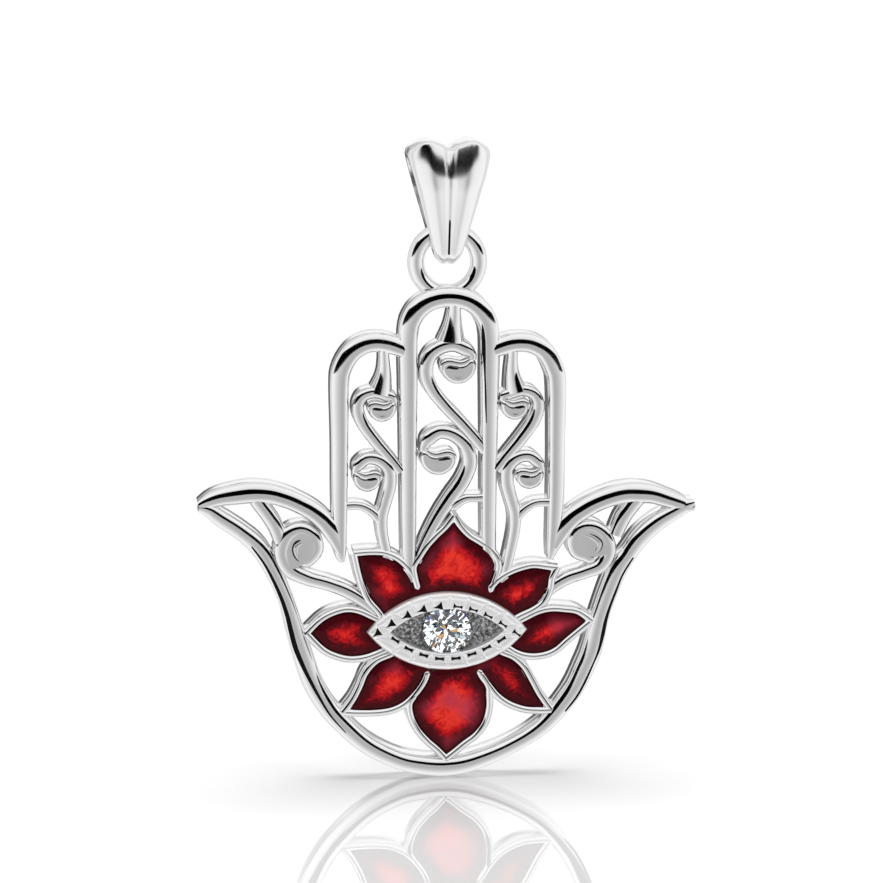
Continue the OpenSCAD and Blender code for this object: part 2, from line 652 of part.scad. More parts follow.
// A solid through rings that close on themselves
module loop_skin(rings) {
    m = len(rings[0]);
    n = len(rings);
    polyhedron(
        [for (r = rings) each r],
        [for (i = [0:n - 1], j = [0:m - 1], k = [0, 1])
            let (a = i * m + j, b = i * m + (j + 1) % m, c = ((i + 1) % n) * m + j, d = ((i + 1) % n) * m + (j + 1) % m)
                k == 0 ? [a, b, d] : [a, d, c]],
        convexity = 8
    );
}

bail();
hand_frame();
enamel(top_pool);  // enamel_top
enamel(left_pool);  // enamel_left
enamel(right_pool);  // enamel_right
enamel(bottom_pool);  // enamel_bottom
stone();
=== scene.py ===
"""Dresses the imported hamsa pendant: polished cast silver, ruby enamel over a crumpled floor, a grained eye
with a brilliant-cut stone, and a fluted bail, on a pale floor in soft studio light."""

import math

import bmesh
import bpy
import numpy as np
from mathutils import Matrix, Vector, geometry, noise


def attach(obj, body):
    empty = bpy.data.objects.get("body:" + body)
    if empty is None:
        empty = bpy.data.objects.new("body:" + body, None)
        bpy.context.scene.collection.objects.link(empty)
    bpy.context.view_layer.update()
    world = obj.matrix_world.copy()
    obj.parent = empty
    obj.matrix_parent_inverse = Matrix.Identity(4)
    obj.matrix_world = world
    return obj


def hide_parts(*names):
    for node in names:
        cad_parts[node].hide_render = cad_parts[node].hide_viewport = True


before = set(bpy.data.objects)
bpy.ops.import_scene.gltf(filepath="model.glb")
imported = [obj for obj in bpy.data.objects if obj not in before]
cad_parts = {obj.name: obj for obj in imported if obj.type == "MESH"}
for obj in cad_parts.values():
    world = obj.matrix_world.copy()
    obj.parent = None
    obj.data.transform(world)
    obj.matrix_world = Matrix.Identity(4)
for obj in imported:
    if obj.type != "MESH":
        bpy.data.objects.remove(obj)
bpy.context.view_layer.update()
bpy.context.scene.view_settings.view_transform = "Standard"

MM = 0.001

# Sizes in millimetres, as in the part's source
HAND_W = 28.3
HAND_H = 28.2
HAND_D = 2.0
BAR_W = 1.18
WALL_W = 0.5
ENAMEL_DROP = 0.14
ENAMEL_T = 0.5
EYE_W = 9.15
EYE_H = 4.5
EYE_RIM_W = 0.5
EYE_LIP_W = 0.5
SLOT_L = 0.46
SLOT_W = 0.24
EYE_RISE = 0.3
EYE_PIT = 0.7
STONE_D = 2.75
LIGHT_HOLE_D = 1.1
FIT_GAP = 0.03
RING_WIRE = 0.96
RING_HOLE = 2.6
BAIL_H = 7.1
BAIL_W = 5.15
BAIL_FOOT_W = 1.24
CHAIN_HOLE = 2.3
BAIL_LOBE_T = 1.1
BAIL_LEAF_T = 0.5
BAIL_FOOT_T = 1.36
LINK_GAP = 0.06

CREST_Y = -HAND_D / 2
BACK_Y = HAND_D / 2
ENAMEL_Y = CREST_Y + ENAMEL_DROP
FLOOR_Y = ENAMEL_Y + ENAMEL_T
LID_Y = CREST_Y - EYE_RISE
EYE_FLOOR_Y = LID_Y + EYE_PIT
BAIL_TOP_Z = CHAIN_HOLE / 2 + BAIL_LOBE_T
BAIL_FOOT_Z = BAIL_TOP_Z - BAIL_H
SADDLE_Z = BAIL_FOOT_Z + BAIL_FOOT_T
RING_Z = SADDLE_Z + LINK_GAP - RING_HOLE / 2
SOLDER_LIP = 0.04
HAND_TOP_Z = RING_Z - RING_HOLE / 2 - SOLDER_LIP
RING_R = (RING_HOLE + RING_WIRE) / 2
DRAWN_W = 100
DRAWN_H = 95

# Centre lines, in hundredths of the hand's width, with a width in shares of BAR_W
RIM = [
    (-49.8, 53.7, 0.4), (-47.8, 53.1, 0.68), (-45.6, 51.5, 0.82), (-41.8, 48.9, 0.86), (-38.2, 45.7, 0.9),
    (-35.4, 41.1, 0.82), (-32.6, 34.7, 0.77), (-30.7, 28.1, 0.9), (-29.1, 22.9, 1), (-27.6, 18.3, 1),
    (-25.4, 14.1, 0.95), (-22.4, 10.2, 0.95), (-16.8, 5, 0.91), (-10.4, 1.6, 0.88), (-5, 0.3, 0.93),
    (0, 0, 0.95), (5.2, 0.9, 0.88), (12.8, 3.9, 0.77), (19.4, 8, 0.82), (24.8, 14.2, 0.91),
    (27.9, 20.1, 1), (29.4, 24.1, 1), (31, 30.9, 0.91), (34, 38.9, 0.95), (36.6, 42.9, 0.86),
    (39.2, 46.3, 0.9), (42.6, 49.2, 0.86), (46.6, 51.5, 0.73), (48.4, 52.4, 0.64), (49.8, 52.9, 0.4),
]
LEFT_THUMB = [
    (-49.8, 54.1, 0.4), (-48, 54.9, 0.68), (-45.6, 55.7, 0.86), (-42.4, 56.2, 1), (-39.2, 56.5, 1.05),
    (-35.9, 56.3, 1), (-33, 55.5, 0.98), (-30.2, 54.3, 0.95), (-27.4, 52.7, 0.95), (-25, 50.6, 0.95),
    (-22.9, 47.7, 0.9), (-21.4, 44.3, 0.6),
]
RIGHT_THUMB = [
    (49.8, 52.1, 0.4), (48.2, 52.3, 0.64), (46.6, 53, 0.77), (44, 53.9, 0.86), (41.2, 54.8, 0.95),
    (38.4, 55.1, 1.04), (35.7, 55.1, 1), (33, 54.5, 0.98), (30.2, 53.5, 0.97), (27.7, 52.2, 0.96),
    (25.2, 50.4, 0.94), (22.9, 47.7, 0.88), (21.2, 44.5, 0.6),
]
MIDDLE_FINGER = [
    (-8, 38, 0.68), (-8, 50.3, 0.75), (-8, 64.3, 0.82), (-8, 78.3, 0.91), (-8, 87.3, 0.95),
    (-6.9, 91.4, 1), (-4, 94.1, 1), (0.1, 95, 1), (4.2, 94.1, 1), (7.1, 91.4, 1),
    (8.3, 87.3, 0.95), (8.3, 78.3, 0.91), (8.2, 64.3, 0.8), (8.1, 50.3, 0.75), (8.2, 40, 0.7),
]
LEFT_FINGER = [
    (-21.3, 42.3, 0.25), (-21.8, 44.9, 0.64), (-21.8, 54.3, 0.77), (-21.7, 66.3, 0.82), (-21.7, 77.3, 0.91),
    (-21.2, 80.9, 0.94), (-19.4, 84, 0.95), (-17, 85.7, 0.96), (-14.4, 86.2, 0.96), (-11.8, 85.8, 0.94),
    (-8.8, 84.6, 0.82),
]
RIGHT_FINGER = [
    (20.5, 42.1, 0.25), (21.2, 45.3, 0.64), (21.7, 54.3, 0.8), (21.8, 66.3, 0.82), (21.8, 77.3, 0.91),
    (21.1, 80.7, 0.94), (19.4, 83.8, 0.95), (16.9, 85.4, 0.96), (14.4, 85.8, 0.96), (12, 85.5, 0.94),
    (9, 84.4, 0.82),
]
MIDDLE_LEAF = [(1.2, 94, 0.6), (1.2, 91.9, 0.66), (1, 89.1, 0.9), (0.7, 86, 1.4)]
SIDE_LEAF = [(13, 85.5, 0.45), (12.8, 82, 0.55), (12.9, 79.2, 0.75), (13.6, 75.8, 1.2)]
MIDDLE_UPPER_SCROLL = [
    (8, 63.5, 0.55), (5.4, 66.7, 0.6), (2.4, 70.1, 0.62), (-0.8, 73.5, 0.64), (-3.4, 76.9, 0.68),
    (-4.5, 80.1, 0.7), (-3.8, 83.1, 0.7), (-1.8, 84.9, 0.7), (1, 85.5, 0.7), (3.6, 84.5, 0.68),
]
MIDDLE_LOWER_SCROLL = [
    (-6.4, 42, 0.5), (-4.1, 47.1, 0.62), (-1.8, 51.3, 0.68), (0.6, 54.9, 0.72), (3, 58.3, 0.73),
    (4.3, 61.9, 0.73), (3.4, 65.3, 0.72), (1, 67.5, 0.7), (-1.8, 68.1, 0.7), (-4, 66.7, 0.7),
]
SIDE_UPPER_SCROLL = [
    (9.6, 60.3, 0.5), (11.8, 63.1, 0.55), (14.8, 66.7, 0.6), (17.2, 70.1, 0.62), (18.1, 73.1, 0.6),
    (17.2, 75.4, 0.58), (14.8, 76.2, 0.56), (12.2, 75.5, 0.55),
]
SIDE_LOWER_SCROLL = [
    (11, 37.5, 0.5), (12.4, 43.5, 0.52), (13.3, 48, 0.56), (13.4, 51.4, 0.62), (12.6, 54.5, 0.64),
    (11.8, 57.7, 0.66), (12, 60.7, 0.64), (13.8, 62.6, 0.62), (16.2, 63, 0.6), (18, 61.7, 0.58),
]
LEFT_VOLUTE = [
    (-13.6, 31, 0.4), (-17, 34.1, 0.64), (-20.4, 36.3, 0.68), (-24.4, 37.9, 0.68), (-28.4, 39.1, 0.73),
    (-32, 41.1, 0.82), (-33.4, 44.5, 0.86), (-32.2, 47.7, 0.86), (-29.6, 48.9, 0.82), (-27.2, 47.5, 0.77),
    (-26.6, 44.9, 0.77), (-28, 42.9, 0.68), (-28.8, 42.45, 0.6), (-29.6, 42.5, 0.45),
]
RIGHT_VOLUTE = [
    (18.2, 33.3, 0.36), (21.2, 36.3, 0.58), (24.2, 38.1, 0.66), (27.6, 39.2, 0.66), (30.8, 40.5, 0.73),
    (32.4, 43.1, 0.77), (31.8, 46.1, 0.77), (29.6, 48.1, 0.77), (27, 48.1, 0.77), (25.4, 46.1, 0.73),
    (25.8, 43.5, 0.68), (27.8, 42.5, 0.6), (28.6, 42.05, 0.6), (29.4, 42.1, 0.45),
]
LEFT_STRUT = [
    (-39.4, 56.7, 0.8), (-37.8, 54.3, 0.77), (-36.2, 52.1, 0.77), (-34.6, 49.5, 0.77), (-33.6, 46.5, 0.7),
]
RIGHT_STRUT = [(39, 54.8, 0.8), (37, 52.4, 0.77), (35.2, 49.8, 0.77), (33.8, 46.6, 0.7)]
SIDE_TWIG = [(21, 53.5, 0.42), (17.9, 53.5, 0.4), (15.6, 52.4, 0.44), (13.2, 50, 0.5)]
MIDDLE_TWIG = [(0.8, 53.1, 0.55), (3.2, 54.5, 0.45), (5.6, 54.7, 0.4), (8.2, 54.7, 0.5)]

# Centre lines of the petal walls, two sides to a petal, from the eye to its tip
PETALS = [
    [[(-12, 28.8), (-14.2, 32.1), (-16.3, 34.7), (-17.5, 37.5), (-18.3, 40.3), (-19.1, 44)],
     [(-6.2, 36.9), (-7, 38.9), (-8.6, 41.3), (-10.6, 43), (-13, 44), (-15.8, 44.2), (-19.1, 44)]],
    [[(-6.2, 36.6), (-6.8, 38.9), (-7, 41.1), (-5.8, 43.1), (-4.4, 45.2), (-2.6, 47.2), (-0.6, 49.1),
      (1.1, 51.2)],
     [(8.3, 35.7), (9.4, 38.1), (10.1, 41.3), (8.6, 44.1), (6.2, 45.9), (4.2, 47.2), (2.4, 49.1),
      (1.1, 51.2)]],
    [[(8.2, 36.1), (9.8, 37.9), (11.8, 39.3), (14.2, 40.3), (17, 40.9), (19.6, 40.6), (21.9, 40.3)],
     [(12.4, 29.4), (14.4, 30.6), (17.2, 31.9), (19.3, 33.5), (20.5, 35.9), (20.9, 38.3), (21.9, 40.3)]],
    [[(-12.6, 29.8), (-15.2, 31), (-18, 32.3), (-20.6, 32.7), (-23.4, 32), (-25.9, 30.6), (-28.6, 28)],
     [(-10.6, 25.3), (-14.2, 23.7), (-17, 22.8), (-20, 22.6), (-22.8, 23.3), (-25.4, 24.7), (-28.6, 28)]],
    [[(12.8, 28.9), (15.4, 30.2), (18.2, 31.5), (20.8, 32), (23.6, 31.8), (26.2, 31.3), (29, 29.4)],
     [(10, 25.7), (13.4, 23.3), (16.2, 22.4), (19.2, 22.5), (21.8, 23.5), (24.4, 25.7), (29, 29.4)]],
    [[(-9.6, 24.6), (-11.6, 23.4), (-14.6, 22.1), (-16.8, 19.7), (-18, 16.9), (-19.5, 14.1), (-21.4, 11.7)],
     [(-4.2, 19.6), (-4.9, 17.7), (-6.4, 15.5), (-8.6, 13.3), (-11.2, 12), (-14.2, 11.5), (-18.2, 11.5),
      (-21.4, 11.7)]],
    [[(-6.8, 14.9), (-7.9, 13.1), (-7.6, 10.5), (-6.4, 7.9), (-4.4, 5.5), (-2.4, 3.7), (-0.6, 1.7)],
     [(7.1, 18.7), (8, 16.5), (8.2, 14.5), (8.2, 11.9), (7.4, 8.9), (5.6, 6.5), (3.2, 4.7), (1.2, 3.1),
      (-0.6, 1.7)]],
    [[(8.4, 25), (10.6, 23.4), (13.2, 22.2), (15.4, 20.1), (17, 17.3), (18.5, 14.5), (20.8, 11.2)],
     [(6.1, 19.7), (6.8, 18.3), (7.8, 17), (9.8, 14.5), (12.2, 12.7), (15.4, 11.5), (18.6, 11.2),
      (20.8, 11.2)]],
]
EYE_AT = (-0.4, 28.1)
SLOTS = [
    (-14.2, 28.2, 30), (-11.4, 30, 29), (-8.2, 31.6, 24), (-5, 32.7, 15), (-1.7, 33.2, 5),
    (1.7, 33.1, -5), (4.8, 32.4, -14), (7.8, 31.1, -24), (10.8, 29.3, -31), (13.6, 27.4, -32),
    (-10.9, 26.6, -33), (-8.2, 24.7, -26), (-5.2, 23.4, -16), (-2, 22.6, -5),
    (1.3, 22.6, 5), (4.5, 23.4, 16), (7.5, 24.6, 26), (10.5, 26.2, 32),
]

# Steps along curves, in millimetres, and how far apart two points may be and still be merged
SPACING = 0.13
FINE_SPACING = 0.06
MERGE = 1e-7
CDT_MERGE = 1e-6
EPS = 1e-9
FAR_AWAY = 1e9

# Sections of bars and petal walls
BAND_DOME = 0.42
BAND_POWER = 2.1
BAND_LEVEL = 0.25
BACK_STEP = 0.06
BACK_EDGE = 0.07
BACK_EDGE_SHARE = 0.4
BACK_CUT = 0.3
WALL_DOME = 0.3
WALL_POWER = 1.8
WALL_STEP = 0.02
LEVEL_STEP = 0.006
WALL_END = 0.24
WALL_REACH = 0.1
END_LEAST = 0.02
END_SINK = 0.2
GRID_CLEAR = 0.6


def placed(rows):
    """Rows of the drawing, in millimetres in the hand's plane."""
    rows = np.asarray(rows, float)
    x = rows[:, 0] / DRAWN_W * HAND_W
    z = HAND_TOP_Z - BAR_W / 2 - (DRAWN_H - rows[:, 1]) / DRAWN_H * (HAND_H - BAR_W)
    return np.stack([x, z], 1)


EYE_X, EYE_Z = placed([EYE_AT])[0]


def smooth_curve(rows, spacing=SPACING):
    """A smooth curve through the rows, with points at about the same distance."""
    rows = np.asarray(rows, float)
    last = len(rows) - 1
    points = []
    for i in range(last):
        a, b = rows[max(i - 1, 0)], rows[i]
        c, d = rows[i + 1], rows[min(i + 2, last)]
        steps = max(1, int(round(np.linalg.norm((c - b)[:2]) / spacing)))
        for k in range(steps):
            t = k / steps
            square, cube = 2 * a - 5 * b + 4 * c - d, 3 * b - a - 3 * c + d
            points.append(0.5 * (2 * b + (c - a) * t + square * t**2 + cube * t**3))
    points.append(rows[last])
    return np.array(points)


def curve_mm(rows, spacing=SPACING):
    """A table's curve in millimetres, with its widths as a third column where it has them."""
    rows = np.asarray(rows, float)
    return smooth_curve(np.hstack([placed(rows), rows[:, 2:]]), spacing)


def across(path):
    """Unit vectors across a path."""
    side = np.gradient(path, axis=0)[:, ::-1] * (-1, 1)
    return side / np.maximum(np.linalg.norm(side, axis=1, keepdims=True), EPS)


def swept(fine, section_of):
    """Rings across a curve of (x, z, width) points: at each, the (across, depth) section for its width."""
    rings = []
    for p, s, w in zip(fine, across(fine[:, :2]), fine[:, 2]):
        rings.append([(p[0] + s[0] * u, y, p[1] + s[1] * u) for u, y in section_of(w)])
    return rings


def rounded_section(width, dome, front, back, count=15, power=BAND_POWER, lean=0.0):
    """Section of a cast strip: a rounded front that may lean, upright sides and softened back edges."""
    half = width / 2
    angles = np.linspace(math.pi, 0, count)
    shares = np.sign(np.cos(angles)) * np.abs(np.cos(angles)) ** (2 / power)
    crest = lean * half
    u = crest + np.where(shares > 0, shares * (half - crest), shares * (half + crest))
    y = front + dome * (1 - np.abs(np.sin(angles)) ** (2 / power))
    corner = min(BACK_EDGE, half * BACK_EDGE_SHARE)
    cut = corner * BACK_CUT
    rounding = [(half, back - corner), (half - cut, back - cut), (half - corner, back)]
    return np.array([*zip(u, y), *rounding, *((-a, b) for a, b in reversed(rounding))])


def scene_object(name, data):
    thing = bpy.data.objects.new(name, data)
    bpy.context.scene.collection.objects.link(thing)
    return thing


def mesh_object(name, verts, faces):
    mesh = bpy.data.meshes.new(name)
    mesh.from_pydata([tuple(v) for v in verts], [], [tuple(f) for f in faces])
    mesh.update()
    return scene_object(name, mesh)


def skin(rings, closed=False):
    """Vertices and faces of a solid between rings of as many points each, in millimetres."""
    rings = np.asarray(rings)
    n, m = rings.shape[:2]
    faces = []
    for i in range(n if closed else n - 1):
        after = (i + 1) % n
        for j in range(m):
            beside = (j + 1) % m
            faces.append((i * m + j, i * m + beside, after * m + beside, after * m + j))
    if not closed:
        for j in range(1, m - 1):
            faces.append((0, j + 1, j))
            faces.append(((n - 1) * m, (n - 1) * m + j, (n - 1) * m + j + 1))
    return rings.reshape(-1, 3), faces


def both_sides(verts, faces, mirrored):
    """A solid, and its mirror image where that is wanted."""
    verts = np.asarray(verts)
    solids = [(verts, faces)]
    if mirrored:
        solids.append((verts * (-1, 1, 1), [face[::-1] for face in faces]))
    return solids


def merged(solids):
    """One list of vertices and one of faces for several solids."""
    verts, faces = [], []
    for own, sides in solids:
        faces += [tuple(i + len(verts) for i in face) for face in sides]
        verts += list(own)
    return verts, faces


shells = []


def band(rows, dome=BAND_DOME, stretch=None, mirrored=False, power=BAND_POWER, lean=0.0, level=BAND_LEVEL):
    """A band of the casting along a table, in stretches where it curls over itself."""
    def section_of(w):
        front, back = CREST_Y + level * (1 - w), BACK_Y - BACK_STEP * (1 - w)
        return rounded_section(w * BAR_W, dome * w, front, back, power=power, lean=lean)

    rings = swept(curve_mm(rows), section_of)
    stretch = stretch or len(rings)
    for i in range(0, len(rings) - 1, stretch):
        shells.extend(both_sides(*skin(rings[i:i + stretch + 1]), mirrored))


def wall(side_rows, level, free):
    """A petal's wall, each level a little lower. A free end, beside the eye, is rounded off."""
    fine = curve_mm(side_rows, FINE_SPACING if free else SPACING)
    if free:
        back = fine[0] - fine[1]
        reach = np.array([[WALL_REACH], [WALL_REACH / 2]])
        fine = np.vstack([fine[0] + back / np.linalg.norm(back) * reach, fine])
    step = WALL_STEP + LEVEL_STEP * level
    section = rounded_section(WALL_W, WALL_DOME, CREST_Y + step, BACK_Y - step, count=13, power=WALL_POWER)
    along = np.concatenate([[0], np.cumsum(np.linalg.norm(np.diff(fine, axis=0), axis=1))])
    rings = []
    for p, s, far in zip(fine, across(fine), along):
        share = math.sqrt(max(END_LEAST, 1 - (1 - min(1, far / WALL_END))**2)) if free else 1.0
        sink = (1 - share) * END_SINK
        dx, dz = s * share
        rings.append([(p[0] + dx * u, y + sink * (y < 0), p[1] + dz * u) for u, y in section])
    shells.append(skin(rings))


def signed_area(outline):
    """Twice the area of an outline, below nought where it runs clockwise."""
    x, z = np.asarray(outline, float).T
    return np.sum(x * np.roll(z, -1) - np.roll(x, -1) * z)


def prism(outline, front, back):
    """A flat solid with an outline given as (x, z) points, facing the front."""
    m = len(outline)
    if signed_area(outline) < 0:
        outline = outline[::-1]
    verts = [(x, front, z) for x, z in outline] + [(x, back, z) for x, z in outline]
    faces = []
    for a, b, c in geometry.tessellate_polygon([[Vector((x, z, 0)) for x, z in outline]]):
        pa, pb, pc = (Vector(outline[k]) for k in (a, b, c))
        if (pb - pa).cross(pc - pa) < 0:
            b, c = c, b
        faces += [(a, b, c), (a + m, c + m, b + m)]
    faces += [(i, i + m, (i + 1) % m + m, (i + 1) % m) for i in range(m)]
    return verts, faces


def union_of(name, parts):
    """One closed mesh from many overlapping closed ones."""
    things = [mesh_object(f"{name}_{i}", v, f) for i, (v, f) in enumerate(parts)]
    while len(things) > 1:
        for first, second in zip(things[::2], things[1::2]):
            combine(first, second, "UNION")
        things = things[::2]
    things[0].name = name
    return things[0]


def combine(target, other, operation):
    """Applies a boolean to a mesh and removes the other one."""
    modifier = target.modifiers.new("combine", "BOOLEAN")
    modifier.operation = operation
    modifier.solver = "MANIFOLD"
    modifier.object = other
    evaluated = target.evaluated_get(bpy.context.evaluated_depsgraph_get())
    mesh = bpy.data.meshes.new_from_object(evaluated)
    target.modifiers.remove(modifier)
    old = target.data
    target.data = mesh
    bpy.data.meshes.remove(old)
    bpy.data.objects.remove(other)


def closed_mesh(name, verts, faces):
    """A mesh object with all of its faces turned outward."""
    thing = mesh_object(name, verts, faces)
    bm = bmesh.new()
    bm.from_mesh(thing.data)
    bmesh.ops.recalc_face_normals(bm, faces=bm.faces)
    bm.to_mesh(thing.data)
    bm.free()
    return thing


def finish_piece(thing, material, angle=38, nodes=(), body="pendant"):
    """Scales a piece to metres, shades it, and puts it on its body."""
    thing.data.name = thing.name
    thing.data.transform(Matrix.Scale(MM, 4))
    thing.data.polygons.foreach_set("use_smooth", [True] * len(thing.data.polygons))
    thing.data.set_sharp_from_angle(angle=math.radians(angle))
    thing.data.materials.clear()
    thing.data.materials.append(material)
    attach(thing, body)
    if nodes:
        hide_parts(*nodes)


# Flat shapes with a drawn front
def sides_of(loop):
    """Both ends of each side of a closed outline."""
    return zip(loop, np.roll(loop, -1, 0))


def inside_points(loop, step):
    """A staggered grid of points inside an outline."""
    lo = loop.min(0)
    nx, nz = ((loop.max(0) - lo) / step).astype(int) + 1
    gx, gz = np.meshgrid(lo[0] + step * np.arange(nx), lo[1] + step * np.arange(nz))
    gx = gx + (np.arange(nz) % 2)[:, None] * step / 2
    points = np.stack([gx.ravel(), gz.ravel()], 1)
    inside = np.zeros(len(points), bool)
    for (x1, z1), (x2, z2) in sides_of(loop):
        if z1 != z2:
            over = (points[:, 1] < z1) != (points[:, 1] < z2)
            at = (x2 - x1) * (points[:, 1] - z1) / (z2 - z1) + x1
            inside ^= over & (points[:, 0] < at)
    return points[inside]


def edge_distance(points, loop):
    """Distance of each point from an outline."""
    best = np.full(len(points), FAR_AWAY)
    for p, q in sides_of(loop):
        d = q - p
        t = np.clip(((points - p) @ d) / max(d @ d, EPS), 0, 1)
        best = np.minimum(best, np.linalg.norm(points - (p + t[:, None] * d), axis=1))
    return best


def sheet_solid(outline, step, front_of, back):
    """A solid with a flat back and a front drawn by front_of(points, away). Away is how far points are from
    the edge."""
    outline = np.asarray(outline)
    grid = inside_points(outline, step)
    grid = grid[edge_distance(grid, outline) > step * GRID_CLEAR]
    rim = []
    for p, q in sides_of(outline):
        pieces = max(1, int(np.linalg.norm(q - p) / step))
        rim += [p + (q - p) * k / pieces for k in range(pieces)]
    edges = [(i, (i + 1) % len(rim)) for i in range(len(rim))]
    flat = [Vector(p) for p in [*rim, *grid]]
    points, _, tris = geometry.delaunay_2d_cdt(flat, edges, [], 1, CDT_MERGE)[:3]
    points = np.array([tuple(p) for p in points])
    away = edge_distance(points, outline)
    n = len(points)
    verts = [(x, y, z) for (x, z), y in zip(points, front_of(points, away))]
    verts += [(x, back, z) for x, z in points]
    sides = set()
    faces = []
    for a, b, c in tris:
        ab, ac = points[b] - points[a], points[c] - points[a]
        if ab[0] * ac[1] - ab[1] * ac[0] < 0:
            b, c = c, b
        faces += [(a, b, c), (a + n, c + n, b + n)]
        sides.update(((a, b), (b, c), (c, a)))
    faces += [(b, a, a + n, b + n) for a, b in sorted(sides) if (b, a) not in sides]
    return verts, faces, away


# Materials
class Graph:
    """Shader nodes of a material or a world. An input takes a number, a colour or another node's output."""

    def __init__(self, tree):
        self.tree = tree

    def feed(self, node, inputs):
        for key, value in inputs.items():
            if isinstance(value, bpy.types.NodeSocket):
                self.tree.links.new(value, node.inputs[key])
            else:
                node.inputs[key].default_value = value

    def add(self, kind, inputs=None):
        node = self.tree.nodes.new("ShaderNode" + kind)
        self.feed(node, inputs or {})
        return node

    def noise(self, scale, detail=3.0, roughness=0.5, distortion=0.0):
        node = self.add("TexNoise", {
            "Scale": scale, "Detail": detail, "Roughness": roughness, "Distortion": distortion,
            "Vector": self.add("TexCoord").outputs["Object"]})
        return node.outputs["Fac"]

    def ramp(self, source, stops, interpolation="LINEAR"):
        node = self.add("ValToRGB", {"Fac": source})
        points = node.color_ramp.elements
        while len(points) < len(stops):
            points.new(0.5)
        for point, (at, colour) in zip(points, stops):
            point.position = at
            point.color = (*colour, 1)
        node.color_ramp.interpolation = interpolation
        return node.outputs["Color"]

    def math(self, operation, *values):
        node = self.add("Math")
        node.operation = operation
        self.feed(node, dict(enumerate(values)))
        return node.outputs[0]

    def mix(self, factor, under, upper):
        node = self.add("Mix")
        node.data_type = "RGBA"
        self.feed(node, {"Factor": factor, "A": under, "B": upper})
        return node.outputs["Result"]

    def bump(self, source, strength, distance):
        node = self.add("Bump", {"Strength": strength, "Distance": distance, "Height": source})
        return node.outputs["Normal"]

    def span(self, source, low, high, soft):
        """1 between two values of a source, with soft ends."""
        ends = []
        for at, first, last in (low, 0, 1), (high, 1, 0):
            inputs = {"From Min": at - soft, "From Max": at + soft, "To Min": first, "To Max": last}
            ends.append(self.add("MapRange", {"Value": source, **inputs}).outputs["Result"])
        return self.math("MULTIPLY", *ends)


def new_material(name, inputs_of):
    """A principled material, with what inputs_of gives for its graph."""
    material = bpy.data.materials.new(name)
    material.use_nodes = True
    graph = Graph(material.node_tree)
    graph.feed(graph.tree.nodes["Principled BSDF"], inputs_of(graph))
    return material


def grey(value):
    return (value, value, value)


def silver(roughness=0.07, tone=0.93, metallic=1.0):
    """Polished rhodium-plated silver with the faint ripple and haze of a hand-polished casting."""
    def inputs_of(graph):
        ripple = graph.noise(900, 2)
        haze = graph.noise(350, 4)
        return {
            "Metallic": metallic,
            "Base Color": graph.ramp(haze, [
                (0.3, (tone * 0.97, tone * 0.97, tone * 0.98)), (0.7, (tone, tone, tone * 1.005))]),
            "Roughness": graph.ramp(haze, [(0.35, grey(roughness)), (0.75, grey(roughness * 1.7))]),
            "Normal": graph.bump(ripple, 0.06, 0.00006),
        }

    return inputs_of


def grained_silver(graph):
    """The eye's floor: silver with a fine crushed grain, its colour darker where the grain is low."""
    grain = graph.noise(5200, 3, 0.7)
    return {
        "Metallic": 1.0,
        "Base Color": graph.ramp(grain, [
            (0.4, grey(0.1)), (0.52, (0.38, 0.38, 0.39)), (0.64, (0.95, 0.95, 0.96))]),
        "Roughness": 0.28,
        "Normal": graph.bump(grain, 0.9, 0.00009),
    }


def ruby_enamel(graph):
    """Translucent ruby enamel: deep maroon along the walls, and brighter over a crumpled bright floor, with
    milky pink clouds painted in as a sheen of reflected light."""
    attribute = graph.add("Attribute")
    attribute.attribute_name = "depth"
    depth = attribute.outputs["Fac"]
    crumple = graph.noise(1800, 5, 0.66, 1.6)
    cloud = graph.noise(420, 1, 0.45)
    tone = graph.math("MULTIPLY_ADD", depth, 0.95, -0.72)
    tone = graph.math("MULTIPLY_ADD", crumple, 1.1, tone)
    tone = graph.math("MULTIPLY_ADD", cloud, 0.4, tone)
    colour = graph.ramp(tone, [
        (0.2, (0.055, 0.002, 0.005)), (0.42, (0.1, 0.002, 0.006)), (0.56, (0.27, 0.004, 0.009)),
        (0.78, (0.6, 0.01, 0.013)), (1.0, (0.85, 0.04, 0.025))])
    # Painted sheen: pink clouds mixed into the colour stand for soft light reflected off the enamel's glassy
    # top
    sheen_noise = graph.noise(430, 1, 0.4)
    sheen_range = graph.add("MapRange", {"Value": sheen_noise, "From Min": 0.5, "From Max": 0.62, "To Max": 0.75})
    painted_sheen = graph.math("MULTIPLY", sheen_range.outputs["Result"], depth)
    return {
        "Base Color": graph.mix(painted_sheen, colour, (0.46, 0.045, 0.085, 1)),
        "Metallic": 0.4,
        "Roughness": 0.4,
        "Specular IOR Level": 0.05,
        "Coat Weight": 0.15,
        "Coat Roughness": 0.02,
        "Coat IOR": 1.5,
        "Normal": graph.bump(crumple, 0.7, 0.00015),
    }


def cut_stone(graph):
    """Clear cubic zirconia."""
    tint = graph.ramp(graph.noise(700, 1), [(0.3, (0.98, 0.99, 1.0)), (0.7, grey(1.0))])
    return {"Transmission Weight": 1.0, "IOR": 2.16, "Base Color": tint, "Roughness": 0.0}


def painted_black(graph):
    """Flat black for painted shade and painted dark reflections: painted shade in the bottoms of the slots, in
    the slits, under the scrolls' ridges and in the bail's groove, and painted dark reflections along the palm
    and the middle finger.
    """
    dark_noise = graph.noise(6000, 3)
    return {
        "Base Color": graph.ramp(dark_noise, [(0.3, grey(0.002)), (0.7, grey(0.008))]),
        "Roughness": 0.8,
        "Specular IOR Level": 0.1,
        "Normal": graph.bump(dark_noise, 0.5, 0.00002),
    }


PAINTED_BLACK = new_material("painted_black", painted_black)
POLISHED = new_material("polished_silver", silver())
BAIL_SILVER = new_material("bail_silver", silver(0.12))
RIM_SILVER = new_material("rim_silver", silver(0.3, 0.98, 0.7))
GRAINED = new_material("grained_silver", grained_silver)
ENAMEL = new_material("ruby_enamel", ruby_enamel)
CZ = new_material("cut_stone", cut_stone)

